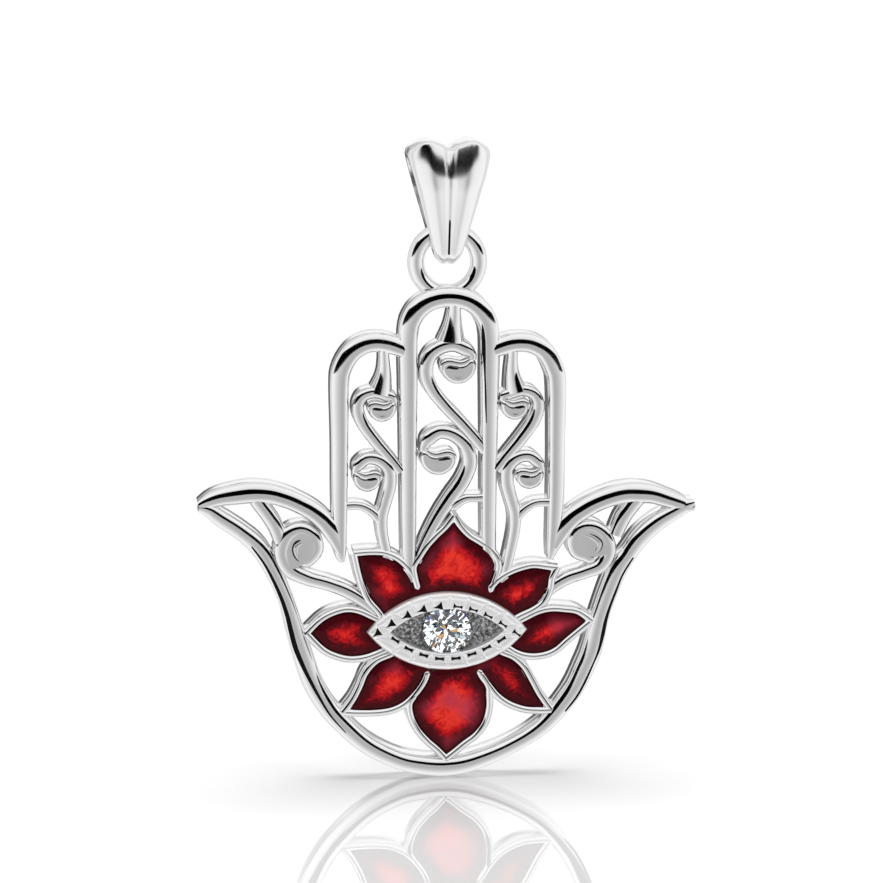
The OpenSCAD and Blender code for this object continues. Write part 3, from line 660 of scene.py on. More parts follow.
# The openwork hand: bars, scrolls, petal walls, beds and the soldered ring
CURL = 8
CREST_LEAN = 0.35
LEAF = {"dome": 0.5, "power": 1.75, "level": 0.2}
band(RIM)
band(LEFT_THUMB, lean=-CREST_LEAN)
band(RIGHT_THUMB, lean=CREST_LEAN)
band(MIDDLE_FINGER, lean=-CREST_LEAN)
band(LEFT_FINGER, lean=-CREST_LEAN)
band(RIGHT_FINGER, lean=CREST_LEAN)
band(LEFT_STRUT)
band(RIGHT_STRUT)
band(MIDDLE_LEAF, **LEAF)
band(SIDE_LEAF, **LEAF, mirrored=True)
band(SIDE_TWIG, mirrored=True)
band(MIDDLE_TWIG)

# Head of a scroll, in shares of its radius, x to the side it curls to and z down: a round plate whose upper
# edge is a curled ridge, and the end of the arc that comes over it
PLATE = [
    (-0.96, 0.12), (-0.94, -0.08), (-0.83, -0.25), (-0.64, -0.34), (-0.42, -0.34), (-0.21, -0.26),
    (-0.02, -0.17), (0.17, -0.14), (0.36, -0.2), (0.55, -0.34), (0.78, -0.44), (0.93, -0.3), (1, 0),
    (0.92, 0.38), (0.7, 0.7), (0.38, 0.92), (0, 1), (-0.38, 0.92), (-0.7, 0.7), (-0.91, 0.4),
]
RIDGE = [
    (-0.86, 0.22, 0.12), (-0.87, 0.02, 0.26), (-0.78, -0.15, 0.34), (-0.61, -0.22, 0.38),
    (-0.42, -0.22, 0.38), (-0.2, -0.18, 0.36), (0, -0.14, 0.34), (0.2, -0.14, 0.32), (0.4, -0.2, 0.3),
    (0.6, -0.34, 0.2),
]
ARC_END = [(0.72, -0.66, 0.5), (0.8, -0.44, 0.42), (0.68, -0.3, 0.3), (0.5, -0.28, 0.16)]
# The comma is painted shade under the ridge, drawn as a black strip
COMMA = [(-0.66, 0.12, 0.03), (-0.54, 0.06, 0.11), (-0.38, 0.07, 0.14), (-0.2, 0.11, 0.11), (0, 0.14, 0.05)]
PLATE_DROP = 0.06
PLATE_BEVEL = 0.2
BEVEL_REACH = 1.3 * PLATE_BEVEL
BEVEL_POWER = 2.4
PLATE_STEP = 0.08
PLATE_BACK_Y = BACK_Y - 0.1
DISH = 0.05
DISH_REACH = 0.8
RIDGE_DOME = 0.4
FLAT_LEVEL = 0.04
DARK_LINE_PROUD = 0.02
DARK_LINE_DEEP = 0.3

# Painted dark lines, gathered into one black piece: painted shade and painted dark reflections
dark = []


def paint_dark_line(rows, drop, mirrored=False):
    """A painted dark line, a thin black strip flush with the face round it, that far behind the crest: painted
    shade where the face has a slit or lies under a ridge, and painted dark reflection along the bars.
    """
    front = CREST_Y + drop

    def section_of(w):
        return rounded_section(w * BAR_W, DARK_LINE_PROUD, front - DARK_LINE_PROUD, front + DARK_LINE_DEEP, count=7)

    dark.extend(both_sides(*skin(swept(curve_mm(rows, FINE_SPACING), section_of)), mirrored))


def scroll(rows, centre, radius, flip, mirrored=False):
    """A band that ends in a round head. The centre is in the drawing, the radius in millimetres."""
    middle = placed([centre])[0]
    share_x, share_z = radius / HAND_W * DRAWN_W, radius / (HAND_H - BAR_W) * DRAWN_H

    def drawn(points):
        return [(centre[0] + flip * x * share_x, centre[1] - z * share_z, *rest) for x, z, *rest in points]

    def front_of(points, away):
        bevel = 1 - np.clip(away / BEVEL_REACH, 0, 1)
        far = np.linalg.norm(points - middle, axis=1) / radius
        dish = DISH * (1 - np.clip(far / DISH_REACH, 0, 1) ** 2)
        return CREST_Y + PLATE_DROP + PLATE_BEVEL * bevel**BEVEL_POWER + dish

    band(rows + drawn(ARC_END), stretch=CURL, mirrored=mirrored)
    band(drawn(RIDGE), dome=RIDGE_DOME, mirrored=mirrored, level=FLAT_LEVEL)
    # Painted shade under the ridge: the comma as a black strip
    paint_dark_line(drawn(COMMA), PLATE_DROP, mirrored)
    loop = smooth_curve(placed(drawn(PLATE + PLATE[:1])), PLATE_STEP)[:-1]
    plate = sheet_solid(loop, PLATE_STEP, front_of, PLATE_BACK_Y)
    shells.extend(both_sides(*plate[:2], mirrored))


scroll(MIDDLE_UPPER_SCROLL, (1.9, 81.3), 1.03, 1)
scroll(MIDDLE_LOWER_SCROLL, (-2.1, 63.1), 1.04, -1)
scroll(SIDE_UPPER_SCROLL, (13.3, 73.2), 0.82, -1, mirrored=True)
scroll(SIDE_LOWER_SCROLL, (16.3, 59.2), 0.81, 1, mirrored=True)

# Painted dark reflections: black lines along the palm's sides and the middle finger
LEFT_LINE = [
    (-39.5, 45.8, 0.04), (-36.7, 41.8, 0.1), (-34.1, 36.4, 0.16), (-32.6, 32.1, 0.2),
    (-31.8, 28.8, 0.23), (-30.9, 25.3, 0.24), (-29.6, 22, 0.22), (-27.9, 18.4, 0.18),
    (-26.4, 15.5, 0.14), (-24, 11.4, 0.09), (-20.9, 7.7, 0.04),
]
RIGHT_LINE = [
    (37.4, 42.1, 0.03), (35.2, 38.7, 0.08), (33.9, 35.5, 0.1), (32.6, 32.1, 0.12), (31.8, 29.5, 0.16),
    (31.2, 26.7, 0.19), (30.4, 23.5, 0.15), (29.3, 20.8, 0.12), (27.7, 17.1, 0.12), (26, 13.9, 0.09),
    (23.7, 10.9, 0.04),
]
FINGER_LINE = [
    (6.6, 90.9, 0.04), (6.9, 88.5, 0.18), (7.1, 85.1, 0.24), (7.3, 81.5, 0.2), (7.4, 77.5, 0.15),
    (7.4, 73.5, 0.1), (7.5, 69.9, 0.04),
]
LEFT_DROP, RIGHT_DROP, FINGER_DROP = 0.008, 0.05, 0.05
paint_dark_line(LEFT_LINE, LEFT_DROP)
paint_dark_line(RIGHT_LINE, RIGHT_DROP)
paint_dark_line(FINGER_LINE, FINGER_DROP)


def convex(points):
    """The outline round some points, anticlockwise."""
    points = sorted(map(tuple, points))

    def chain(sequence):
        out = []
        for p in sequence:
            while len(out) > 1:
                (ax, az), (bx, bz) = out[-2:]
                if (bx - ax) * (p[1] - az) > (bz - az) * (p[0] - ax):
                    break
                out.pop()
            out.append(p)
        return out[:-1]

    return chain(points) + chain(points[::-1])


# Face of a volute, dished inside its rim, with a curved slit painted in as a black line of shade, and a bright
# lip
FACE_DROP = 0.1
FACE_DISH = 0.04
LIP_DOME = 0.2
CURL_START = 5
FACE_BACK_Y = BACK_Y - 0.2
FACE_STEP = 0.12
FACE_EDGE_STEP = 0.1
LEFT_SLIT = [
    (-29.7, 47, 0.05), (-30.4, 46.7, 0.13), (-31, 46.2, 0.1), (-31.3, 45.5, 0.07), (-31.3, 44.8, 0.07),
    (-31.1, 44, 0.07), (-30.7, 43.3, 0.07), (-30.1, 42.7, 0.07), (-29.5, 42.2, 0.04),
]
RIGHT_SLIT = [
    (28.4, 47.2, 0.04), (29.7, 46.6, 0.08), (30.5, 46, 0.09), (31, 45.3, 0.09), (30.9, 44.2, 0.08),
    (30.2, 43.2, 0.06), (29.2, 42.6, 0.04),
]
LEFT_LIP = [
    (-29.2, 46.4, 0.05), (-30, 46.1, 0.14), (-30.5, 45.6, 0.16), (-30.7, 45, 0.16), (-30.5, 44.1, 0.14),
    (-30.1, 43.4, 0.1),
]
RIGHT_LIP = [
    (27.6, 46.9, 0.05), (28.8, 46.4, 0.14), (29.8, 45.7, 0.16), (30.3, 45, 0.16), (30.2, 44.3, 0.14),
    (29.7, 43.6, 0.1),
]


def volute(rows, slit, lip):
    """A curled band round a face whose slit is a painted black line, painted shade. The last two points of its
    table are its end, under the face.
    """
    band(rows, stretch=CURL)
    band(lip, dome=LIP_DOME, level=FLAT_LEVEL)
    paint_dark_line(slit, FACE_DROP)
    loop = np.array(convex(placed(rows[CURL_START:-2])))
    loop = smooth_curve(np.vstack([loop, loop[:1]]), FACE_EDGE_STEP)[:-1]
    middle = loop.mean(0)
    reach = np.linalg.norm(loop - middle, axis=1).mean()

    def front_of(points, _):
        far = np.linalg.norm(points - middle, axis=1) / reach
        return CREST_Y + FACE_DROP - FACE_DISH * np.clip(far, 0, 1) ** 2

    shells.append(sheet_solid(loop, FACE_STEP, front_of, FACE_BACK_Y)[:2])


volute(LEFT_VOLUTE, LEFT_SLIT, LEFT_LIP)
volute(RIGHT_VOLUTE, RIGHT_SLIT, RIGHT_LIP)


def turns(count):
    """Angles all round, at equal steps."""
    return [2 * math.pi * i / count for i in range(count)]


def ring_shell(wire_sides=28, ring_sides=110):
    wire = [(RING_R + RING_WIRE / 2 * math.cos(b), RING_WIRE / 2 * math.sin(b)) for b in turns(wire_sides)]
    rings = [[(r * math.cos(a), y, RING_Z + r * math.sin(a)) for r, y in wire] for a in turns(ring_sides)]
    return skin(rings, closed=True)


shells.append(ring_shell())
hand = union_of("hand_metal", shells)

# What of the bars reaches over the enamel is cut away
LEVEL_MERGE = 1e-6
SHARP_CORNER = 0.35
CUT_MARGIN = 0.06


def welded(node):
    """A bmesh of a node's mesh, with its doubled vertices merged."""
    bm = bmesh.new()
    bm.from_mesh(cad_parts[node].data)
    bmesh.ops.remove_doubles(bm, verts=bm.verts, dist=MERGE)
    return bm


def front_outline(node):
    """The edge loop of a node's front face, in millimetres."""
    bm = welded(node)
    front = min(v.co.y for v in bm.verts)
    kept = {f for f in bm.faces if all(abs(v.co.y - front) < LEVEL_MERGE for v in f.verts)}
    links = {}
    for face in (f for f in bm.faces if f in kept):
        for loop in face.loops:
            if sum(f in kept for f in loop.edge.link_faces) == 1:
                links[loop.vert.index] = loop.link_loop_next.vert.index
    bm.verts.ensure_lookup_table()
    order = [next(iter(links))]
    while links[order[-1]] != order[0]:
        order.append(links[order[-1]])
    loop = [(bm.verts[i].co.x / MM, bm.verts[i].co.z / MM) for i in order]
    bm.free()
    return loop


def moved_out(loop, by):
    """An outline with its corners moved outward."""
    points = np.array(loop)
    if signed_area(points) < 0:
        points = points[::-1]
    ahead = np.roll(points, -1, 0) - points
    ahead /= np.linalg.norm(ahead, axis=1, keepdims=True)
    normal = np.stack([ahead[:, 1], -ahead[:, 0]], 1)
    blend = normal + np.roll(normal, 1, 0)
    blend /= np.maximum(SHARP_CORNER, (blend * normal).sum(1, keepdims=True))
    return points + blend * by


POOLS = ("enamel_top", "enamel_left", "enamel_right", "enamel_bottom")
outlines = {node: front_outline(node) for node in POOLS}
for outline in outlines.values():
    cutter = prism([tuple(p) for p in moved_out(outline, CUT_MARGIN)], LID_Y, FLOOR_Y)
    combine(hand, mesh_object("cutter", *cutter), "DIFFERENCE")

# Outline of the eye, and the seat that its stone is let into
LENS_SLANT = 1.35
LIP_INSET = EYE_RIM_W + EYE_LIP_W


def lens_arc(inset, s, side):
    """Point of the eye's outline moved inward: s runs from -1 to 1 between its corners."""
    half_w, half_h = EYE_W / 2 - inset * LENS_SLANT, EYE_H / 2 - inset
    r = (half_w**2 + half_h**2) / (2 * half_h)
    turn = math.asin(half_w / r) * s
    return EYE_X + r * math.sin(turn), EYE_Z + side * (r * math.cos(turn) - r + half_h)


STONE_R = STONE_D / 2
TABLE_R = 0.55 * STONE_R
CROWN_H = 0.16 * STONE_D
GIRDLE_T = 0.03 * STONE_D
PAVILION_H = 0.42 * STONE_D
GIRDLE_Y = LID_Y + 0.16 * STONE_D


def turned(profile, sides=72):
    """A closed solid of revolution round the stone's axis, from (radius, height to the front) points."""
    rings = []
    for r, h in profile:
        rings.append([(EYE_X + r * math.cos(a), GIRDLE_Y - h, EYE_Z + r * math.sin(a)) for a in turns(sides)])
    verts, faces = skin(rings, closed=True)
    caps = [tuple(reversed(range(sides))), tuple(range(len(verts) - sides, len(verts)))]
    return verts, faces[:-sides] + caps


SEAT_R = STONE_R + FIT_GAP
SEAT_SLOPE = PAVILION_H / STONE_R
FAR = HAND_D + EYE_RISE
LIGHT_R = LIGHT_HOLE_D / 2
LEDGE = GIRDLE_T + FIT_GAP
SEAT_PROFILE = [
    (LIGHT_R, -FAR), (LIGHT_R, (LIGHT_R - SEAT_R) * SEAT_SLOPE), (SEAT_R, -FIT_GAP), (SEAT_R, LEDGE),
    (TABLE_R, LEDGE + CROWN_H * (SEAT_R - TABLE_R) / (STONE_R - TABLE_R)), (TABLE_R, FAR),
]


def cut_seat(thing):
    combine(thing, closed_mesh("seat", *turned(SEAT_PROFILE)), "DIFFERENCE")


# Sides whose first end stands free beside the eye, by petal and side, and one that starts in another place
FREE_SIDES = {(0, 1), (1, 0), (1, 1), (2, 0), (5, 1), (6, 0), (6, 1), (7, 1)}
SHARED_SIDE = (6, 1)
SHARED_START = (6.35, 19.2)
SHARED_SHIFT = np.array([-0.14, 0.0])
WALL_LEVELS = 8
LEVEL_STRIDE = 5
BED_STEP = 0.01
LENS_INSET = -0.02
shells = []
for k, petal in enumerate(PETALS):
    for j, side_rows in enumerate(petal):
        rows = [SHARED_START] + side_rows[1:] if (k, j) == SHARED_SIDE else side_rows
        wall(rows, ((2 * k + j) * LEVEL_STRIDE) % WALL_LEVELS, (k, j) in FREE_SIDES)
    near, far = (curve_mm(side_rows)[:, :2] for side_rows in petal)
    outline = [(EYE_X, EYE_Z)] + [tuple(p) for p in near] + [tuple(p) for p in far[-2::-1]]
    shells.append(prism(outline, FLOOR_Y, BACK_Y - BED_STEP * k))
lens = [lens_arc(LENS_INSET, s * side, side) for side in (1, -1) for s in np.linspace(-1, 1, 90)[:-1]]
shells.append(prism(lens, front=EYE_FLOOR_Y + 0.12, back=BACK_Y + 0.004))
flower = union_of("flower", shells)
cut_seat(flower)
combine(hand, flower, "UNION")
finish_piece(hand, POLISHED, nodes=("hand_frame",))
# The painted dark lines: painted shade in slits and under ridges, painted dark reflections along the bars
finish_piece(closed_mesh("painted_dark_lines", *merged(dark)), PAINTED_BLACK)

# The eye's setting: a ring of lens shape with a rounded rim, pads between grooves, slots and an inner lip.
# Its profile gives the inset from the edge, the height as a share from the hand's crest to the lid, and how
# much of the relief it takes
ARC_STEPS = 190
SETTING_PROFILE = [
    (0, -0.4, 0), (0, 0.1, 0), (0.02, 0.42, 0), (0.06, 0.68, 0), (0.12, 0.87, 0.2), (0.19, 0.97, 0.5),
    (0.26, 1, 0.8), (0.33, 0.97, 1), (0.38, 0.9, 1), (0.42, 0.85, 1), (0.5, 0.87, 1), (0.58, 0.89, 1),
    (0.66, 0.89, 1), (0.72, 0.87, 1), (0.78, 0.9, 0.6), (0.84, 0.93, 0.4), (0.9, 0.9, 0.3), (0.95, 0.8, 0.2),
    (0.985, 0.62, 0.1), (1, 0.35, 0),
]
GROOVE_DEEP = 0.12
GROOVE_HALF_W = 0.055
PAD_SWELL = 0.03
SLOT_INSET = 0.6
SETTING_BACK_Y = BACK_Y - 0.03


def in_upper_lid(row):
    return row[1] > EYE_AT[1] - 1


def slot_shares(side):
    """Where the slots of one lid sit along its arc, as shares s."""
    line = [(s, lens_arc(SLOT_INSET, s, side)) for s in np.linspace(-1, 1, 401)]
    shares = []
    for x, z in placed([row for row in SLOTS if in_upper_lid(row) == (side > 0)]):
        shares.append(min(line, key=lambda item: (item[1][0] - x)**2 + (item[1][1] - z)**2)[0])
    return sorted(shares)


def eye_setting():
    rings = []
    for side in (1, -1):
        own = slot_shares(side)
        pad_w = own[1] - own[0]
        pad_half = pad_w * EYE_W / 4
        grooves = [(a + b) / 2 for a, b in zip(own, own[1:])]
        grooves += [own[0] - pad_w / 2, own[-1] + (own[-1] - own[-2]) / 2]
        for i in range(ARC_STEPS):
            s = (-1 + 2 * i / ARC_STEPS) * side
            apart = min(abs(s - g) for g in grooves) * EYE_W / 2
            groove = math.exp(-(apart / GROOVE_HALF_W)**2)
            swell = max(0.0, 1 - ((pad_half - min(apart, pad_half)) / pad_half)**2) * PAD_SWELL
            ring = []
            for inset, height, relief in SETTING_PROFILE:
                x, z = lens_arc(inset * LIP_INSET, s, side)
                y = CREST_Y + (LID_Y - CREST_Y) * height + relief * (groove * GROOVE_DEEP - swell)
                ring.append((x, y, z))
            (in_x, in_z), (out_x, out_z) = lens_arc(LIP_INSET, s, side), lens_arc(0, s, side)
            ring += [(in_x, EYE_FLOOR_Y, in_z), (in_x, SETTING_BACK_Y, in_z), (out_x, SETTING_BACK_Y, out_z)]
            rings.append(ring)
    return skin(rings, closed=True)


# Shapes of the slots, in shares of their length and width: wedges at the upper left, thin bones elsewhere
WEDGE = [(-1.05, -0.2), (-0.4, -0.38), (0.25, -0.95), (0.18, 0), (0.12, 1.3), (-0.4, 0.4)]
BONE = [
    (-0.6, -0.6), (-0.25, -0.22), (0.2, -0.2), (0.56, -0.52), (0.6, 0.4), (0.2, 0.18), (-0.2, 0.25),
    (-0.55, 0.85),
]
BAR = [
    (-0.58, -0.5), (-0.2, -0.3), (0.2, -0.3), (0.58, -0.52), (0.58, 0.5), (0.2, 0.32), (-0.2, 0.32),
    (-0.58, 0.55),
]


def slot_shape(row):
    if not in_upper_lid(row):
        return BAR
    return WEDGE if row[0] < 0 else BONE


def slot_solids(front, back, growth=1.0, outline_of=list):
    """One prism in the place of each slot."""
    solids = []
    for (x, z), row in zip(placed(SLOTS), SLOTS):
        turn = math.radians(row[2])
        cos, sin = math.cos(turn), math.sin(turn)
        sizes = [(u * SLOT_L * growth, v * SLOT_W * growth) for u, v in outline_of(slot_shape(row))]
        solids.append(prism([(x + a * cos - b * sin, z + a * sin + b * cos) for a, b in sizes], front, back))
    return merged(solids)


setting = closed_mesh("eye_setting", *eye_setting())
slots = slot_solids(front=LID_Y - 0.2, back=EYE_FLOOR_Y + 0.1)
combine(setting, mesh_object("slots", *slots), "DIFFERENCE")
cut_seat(setting)
finish_piece(setting, RIM_SILVER, angle=32)
# Painted shade: flat black plates set inside the slots stand for the shade at their bottoms
painted_slot_shade = slot_solids(front=LID_Y + 0.17, back=LID_Y + 0.34, growth=1.06, outline_of=convex)
finish_piece(mesh_object("painted_slot_shade", *painted_slot_shade), PAINTED_BLACK)

FLOOR_EDGE = LIP_INSET - 0.12
FLOOR_STEPS = 24
FLOOR_BACK_Y = BACK_Y - 0.05
GRAIN_HEIGHT = 0.06
GRAIN = ((9, 3.1, 0.6), (21, 7.7, 0.4))
FLOOR_HOLE_R = LIGHT_R * 1.02


def ripple(x, z, scale, level):
    """Smooth noise over the hand's plane."""
    return noise.noise(Vector((x * scale, level, z * scale)))


def eye_floor():
    """The grained floor round the stone's seat, as a ring of sections from the seat out under the lids."""
    seat_edge = SEAT_R - (EYE_FLOOR_Y - GIRDLE_Y) / SEAT_SLOPE
    hole_y = GIRDLE_Y + (SEAT_R - LIGHT_R) * SEAT_SLOPE
    rings = []
    for side in (1, -1):
        for s in np.linspace(-1, 1, 240)[:-1] * side:
            x, z = lens_arc(FLOOR_EDGE, s, side)
            far = math.hypot(x - EYE_X, z - EYE_Z)
            ux, uz = (x - EYE_X) / far, (z - EYE_Z) / far
            start = min(seat_edge + 0.01, far - 0.05)
            ring = []
            for k in range(FLOOR_STEPS + 1):
                r = start + (far - start) * k / FLOOR_STEPS
                px, pz = EYE_X + ux * r, EYE_Z + uz * r
                grain = sum(ripple(px, pz, scale, level) * share for scale, level, share in GRAIN)
                ring.append((px, EYE_FLOOR_Y + grain * GRAIN_HEIGHT, pz))
            hole_x, hole_z = EYE_X + ux * FLOOR_HOLE_R, EYE_Z + uz * FLOOR_HOLE_R
            ring += [(x, FLOOR_BACK_Y, z), (hole_x, FLOOR_BACK_Y, hole_z), (hole_x, hole_y, hole_z)]
            rings.append(ring)
    return skin(rings, closed=True)


finish_piece(closed_mesh("eye_floor", *eye_floor()), GRAINED, angle=60)

# Enamel: each pool is a lid of glass over the bed, a little domed, with soft ripples
NOTCH_REACH = 0.42
NOTCH_BEHIND = 0.05
NOTCH_SHIFT = 0.24
POOL_GROWTH = 0.05
POOL_STEP = 0.15
POOL_EDGE = 0.05
POOL_DOME, DOME_REACH = 0.11, 0.7
POOL_SWELL, SWELL_REACH = 0.03, 0.4
POOL_BACK_Y = FLOOR_Y + 0.02
DEEP_AT = 1.1


def under_free_ends(loop):
    """Moves the notches that the free walls leave in a pool further under those walls."""
    for k, j in sorted(FREE_SIDES):
        line = placed(PETALS[k][j])
        along = (line[1] - line[0]) / np.linalg.norm(line[1] - line[0])
        near = np.linalg.norm(loop - line[0], axis=1) < NOTCH_REACH
        behind = (loop - line[0]) @ along < NOTCH_BEHIND
        loop[near & behind] += along * NOTCH_SHIFT + (SHARED_SHIFT if (k, j) == SHARED_SIDE else 0)
    return loop


def enamel_front(points, away):
    dome = 1 - (1 - np.clip(away / DOME_REACH, 0, 1))**2
    swell = np.array([ripple(x, z, 0.9, 2.3) for x, z in points])
    return ENAMEL_Y + POOL_EDGE - dome * POOL_DOME - swell * POOL_SWELL * np.clip(away / SWELL_REACH, 0, 1)


for node in POOLS:
    outline = under_free_ends(moved_out(outlines[node], POOL_GROWTH))
    verts, faces, away = sheet_solid(outline, POOL_STEP, enamel_front, POOL_BACK_Y)
    glass = closed_mesh(node + "_glass", verts, faces)
    depth = glass.data.attributes.new("depth", "FLOAT", "POINT")
    depth.data.foreach_set("value", np.tile(np.clip(away / DEEP_AT, 0, 1), 2).astype(np.float32))
    finish_piece(glass, ENAMEL, angle=50, nodes=(node,))


# The stone's own facets, each one flat
FACET_ANGLE = 0.5
facets = welded("stone")
verts, faces = [v.co / MM for v in facets.verts], [[v.index for v in f.verts] for f in facets.faces]
facets.free()
stone = closed_mesh("stone_cut", verts, faces)
finish_piece(stone, CZ, angle=FACET_ANGLE, nodes=("stone",))

# The fluted bail
LEAF_ROOM = 0.06
LEAF_TAPER = 0.75
LEAF_INNER_R = RING_WIRE / 2 + LINK_GAP + LEAF_ROOM
FOOT_INNER_Z = SADDLE_Z + LEAF_INNER_R
FOOT_OUTER_R = LEAF_INNER_R + BAIL_LEAF_T * LEAF_TAPER
FOOT_OUTER_Z = BAIL_FOOT_Z + FOOT_OUTER_R
HOLE_R = RING_HOLE / 2
SADDLE_SHARE = 0.9
FLUTE_FADE = 0.75


def symmetric(half):
    """A section from its left half, which ends in the middle."""
    return half + [(-u, h) for u, h in half[-2::-1]]


FLUTED = symmetric([(-1, 0.28), (-0.87, 0.6), (-0.52, 1), (-0.22, 0.84), (0, 0.6)])
PLAIN = symmetric([(-1, 0.45), (-0.87, 0.78), (-0.52, 1), (-0.22, 1), (0, 0.97)])


def bail_share(z):
    return (z - BAIL_FOOT_Z) / BAIL_H


def bail_half_w(z):
    return (BAIL_FOOT_W + (BAIL_W - BAIL_FOOT_W) * bail_share(z)) / 2


def drop_curve(top_r, foot_r, foot_z, top_steps=72, flank_steps=30, foot_steps=40):
    """Drop outline from two circles on the loop's axis, as (y, z) points from the front over the top."""
    lean = math.asin((top_r - foot_r) / -foot_z)

    def arc(r, z, start, end, steps):
        return np.array([(r * math.cos(a), z + r * math.sin(a)) for a in np.linspace(start, end, steps)])

    over = arc(top_r, 0, -lean, math.pi + lean, top_steps)
    under = arc(foot_r, foot_z, math.pi + lean, 2 * math.pi - lean, foot_steps)
    flank = np.linspace(0, 1, flank_steps + 2)[1:-1, None]
    back, front = over[-1] + (under[0] - over[-1]) * flank, under[-1] + (over[0] - under[-1]) * flank
    return np.concatenate([over, back, under, front])


# The loop's top, in shares of its reach, and where its flank and its turn end, in shares of the way over
TOP_TURN = 0.11
TOP_LEAN = 0.13
TOP_CROWN = 0.03
FLANK_END = 0.47
TURN_END = 0.75


def squarer(line, reach):
    """The loop with a squarer top: front and back lean inward under a tighter turn and a low crown."""
    turn_r, lean_in, crown = TOP_TURN * reach, TOP_LEAN * reach, TOP_CROWN * reach
    knee = reach - crown - turn_r
    for _ in range(8):
        tilt = math.atan(2 * lean_in / knee)
        knee = reach - crown - turn_r * (1 - math.sin(tilt))
    middle = reach - lean_in - turn_r * math.cos(tilt)
    out = []
    for y, z in line:
        if z > 0:
            share = math.atan2(z, abs(y)) / (math.pi / 2)
            if share < FLANK_END:
                height = knee * share / FLANK_END
                depth = reach - lean_in * (height / knee)**2
            elif share < TURN_END:
                a = tilt + (share - FLANK_END) / (TURN_END - FLANK_END) * (math.pi / 2 - tilt)
                height = reach - crown - turn_r + turn_r * math.sin(a)
                depth = middle + turn_r * math.cos(a)
            else:
                depth = middle * (1 - (share - TURN_END) / (1 - TURN_END))
                height = reach - crown * (depth / middle)**2
            y, z = math.copysign(depth, y), height
        out.append((y, z))
    return np.array(out)


EDGE_SHARE = 0.14
BACK_POINTS = 13


def fine_sections(spacing=0.056):
    """Both sections with as many points each: a smooth front with its edges kept, then the straight back."""
    front = smooth_curve(np.hstack([FLUTED, PLAIN]), spacing)
    back = [(u, 0, u, 0) for u in np.linspace(1, -1, BACK_POINTS)]
    first, last = ([(u, EDGE_SHARE, u, EDGE_SHARE)] for u in (-1, 1))
    both = np.concatenate([first, front, last, back])
    return both[:, :2], both[:, 2:]


saddle_half_w = min(bail_half_w(SADDLE_Z), SADDLE_SHARE * HOLE_R)
saddle_drop = HOLE_R - math.sqrt(HOLE_R**2 - saddle_half_w**2) + 2 * LINK_GAP
inner_line = drop_curve(CHAIN_HOLE / 2, LEAF_INNER_R, FOOT_INNER_Z)
edge_line = drop_curve(CHAIN_HOLE / 2, LEAF_INNER_R, FOOT_INNER_Z - saddle_drop)
outer_line = squarer(drop_curve(BAIL_TOP_Z, FOOT_OUTER_R, FOOT_OUTER_Z), BAIL_TOP_Z)
fluted_section, plain_section = fine_sections()
bail_rings = []
for inner, edge, outer in zip(inner_line, edge_line, outer_line):
    fluted = max(0.0, bail_share(outer[1]))**FLUTE_FADE
    ring = []
    for u, h in fluted * fluted_section + (1 - fluted) * plain_section:
        start = inner + (edge - inner) * u * u
        y, z = start + (outer - start) * h
        ring.append((u * bail_half_w(z), y, z))
    bail_rings.append(ring)
bail = closed_mesh("bail_metal", *skin(bail_rings, closed=True))
finish_piece(bail, BAIL_SILVER, angle=40, nodes=("bail",), body="bail")

# Painted shade of a groove down the front of the bail's narrow part: a thin black strip laid on its face
GROOVE_TOP_Z, GROOVE_END_Z = -2.15, -4.3
GROOVE_W = 0.12
GROOVE_TAPER = 0.3
GROOVE_POINT = 0.3
GROOVE_PROUD, GROOVE_DEPTH = 0.012, 0.1
FRONT_REACH = 0.5
groove_rings = []
for ring in bail_rings:
    front = min(point[1] for point in ring) + FRONT_REACH
    _, y, z = min((point for point in ring if point[1] <= front), key=lambda point: abs(point[0]))
    if y < 0 and GROOVE_END_Z < z < GROOVE_TOP_Z:
        share = min(1.0, (GROOVE_TOP_Z - z) / GROOVE_TAPER)
        half = GROOVE_W / 2 * (GROOVE_POINT + (1 - GROOVE_POINT) * share)
        top, bottom = y - GROOVE_PROUD, y + GROOVE_DEPTH
        groove_rings.append([(-half, top, z), (half, top, z), (half, bottom, z), (-half, bottom, z)])
painted_groove_shade = closed_mesh("bail_groove_shade", *skin(groove_rings))
finish_piece(painted_groove_shade, PAINTED_BLACK, body="bail")

# Floor, studio and camera
FLOOR_Z = HAND_TOP_Z - HAND_H - 0.06
FLOOR_SIZE = 4
MIRROR_SHARE = 0.42
GAMMA = 2.2
AMBIENT = 0.09


def floor_material():
    """Plain white with a faint mirror."""
    material = new_material("floor", lambda graph: {})
    graph = Graph(material.node_tree)
    nodes = graph.tree.nodes
    nodes.remove(nodes["Principled BSDF"])
    plain = graph.add("BsdfDiffuse", {"Color": (1, 1, 1, 1)})
    mirror = graph.add("BsdfGlossy", {"Roughness": 0.01})
    mix = graph.add("MixShader", {"Fac": MIRROR_SHARE, 1: plain.outputs["BSDF"], 2: mirror.outputs["BSDF"]})
    graph.feed(nodes["Material Output"], {"Surface": mix.outputs["Shader"]})
    return material


bpy.ops.mesh.primitive_plane_add(size=FLOOR_SIZE, location=(0, 0, FLOOR_Z * MM))
floor = bpy.context.object
floor.name = "floor"
floor.data.materials.append(floor_material())
floor.visible_glossy = False
floor.visible_transmission = False

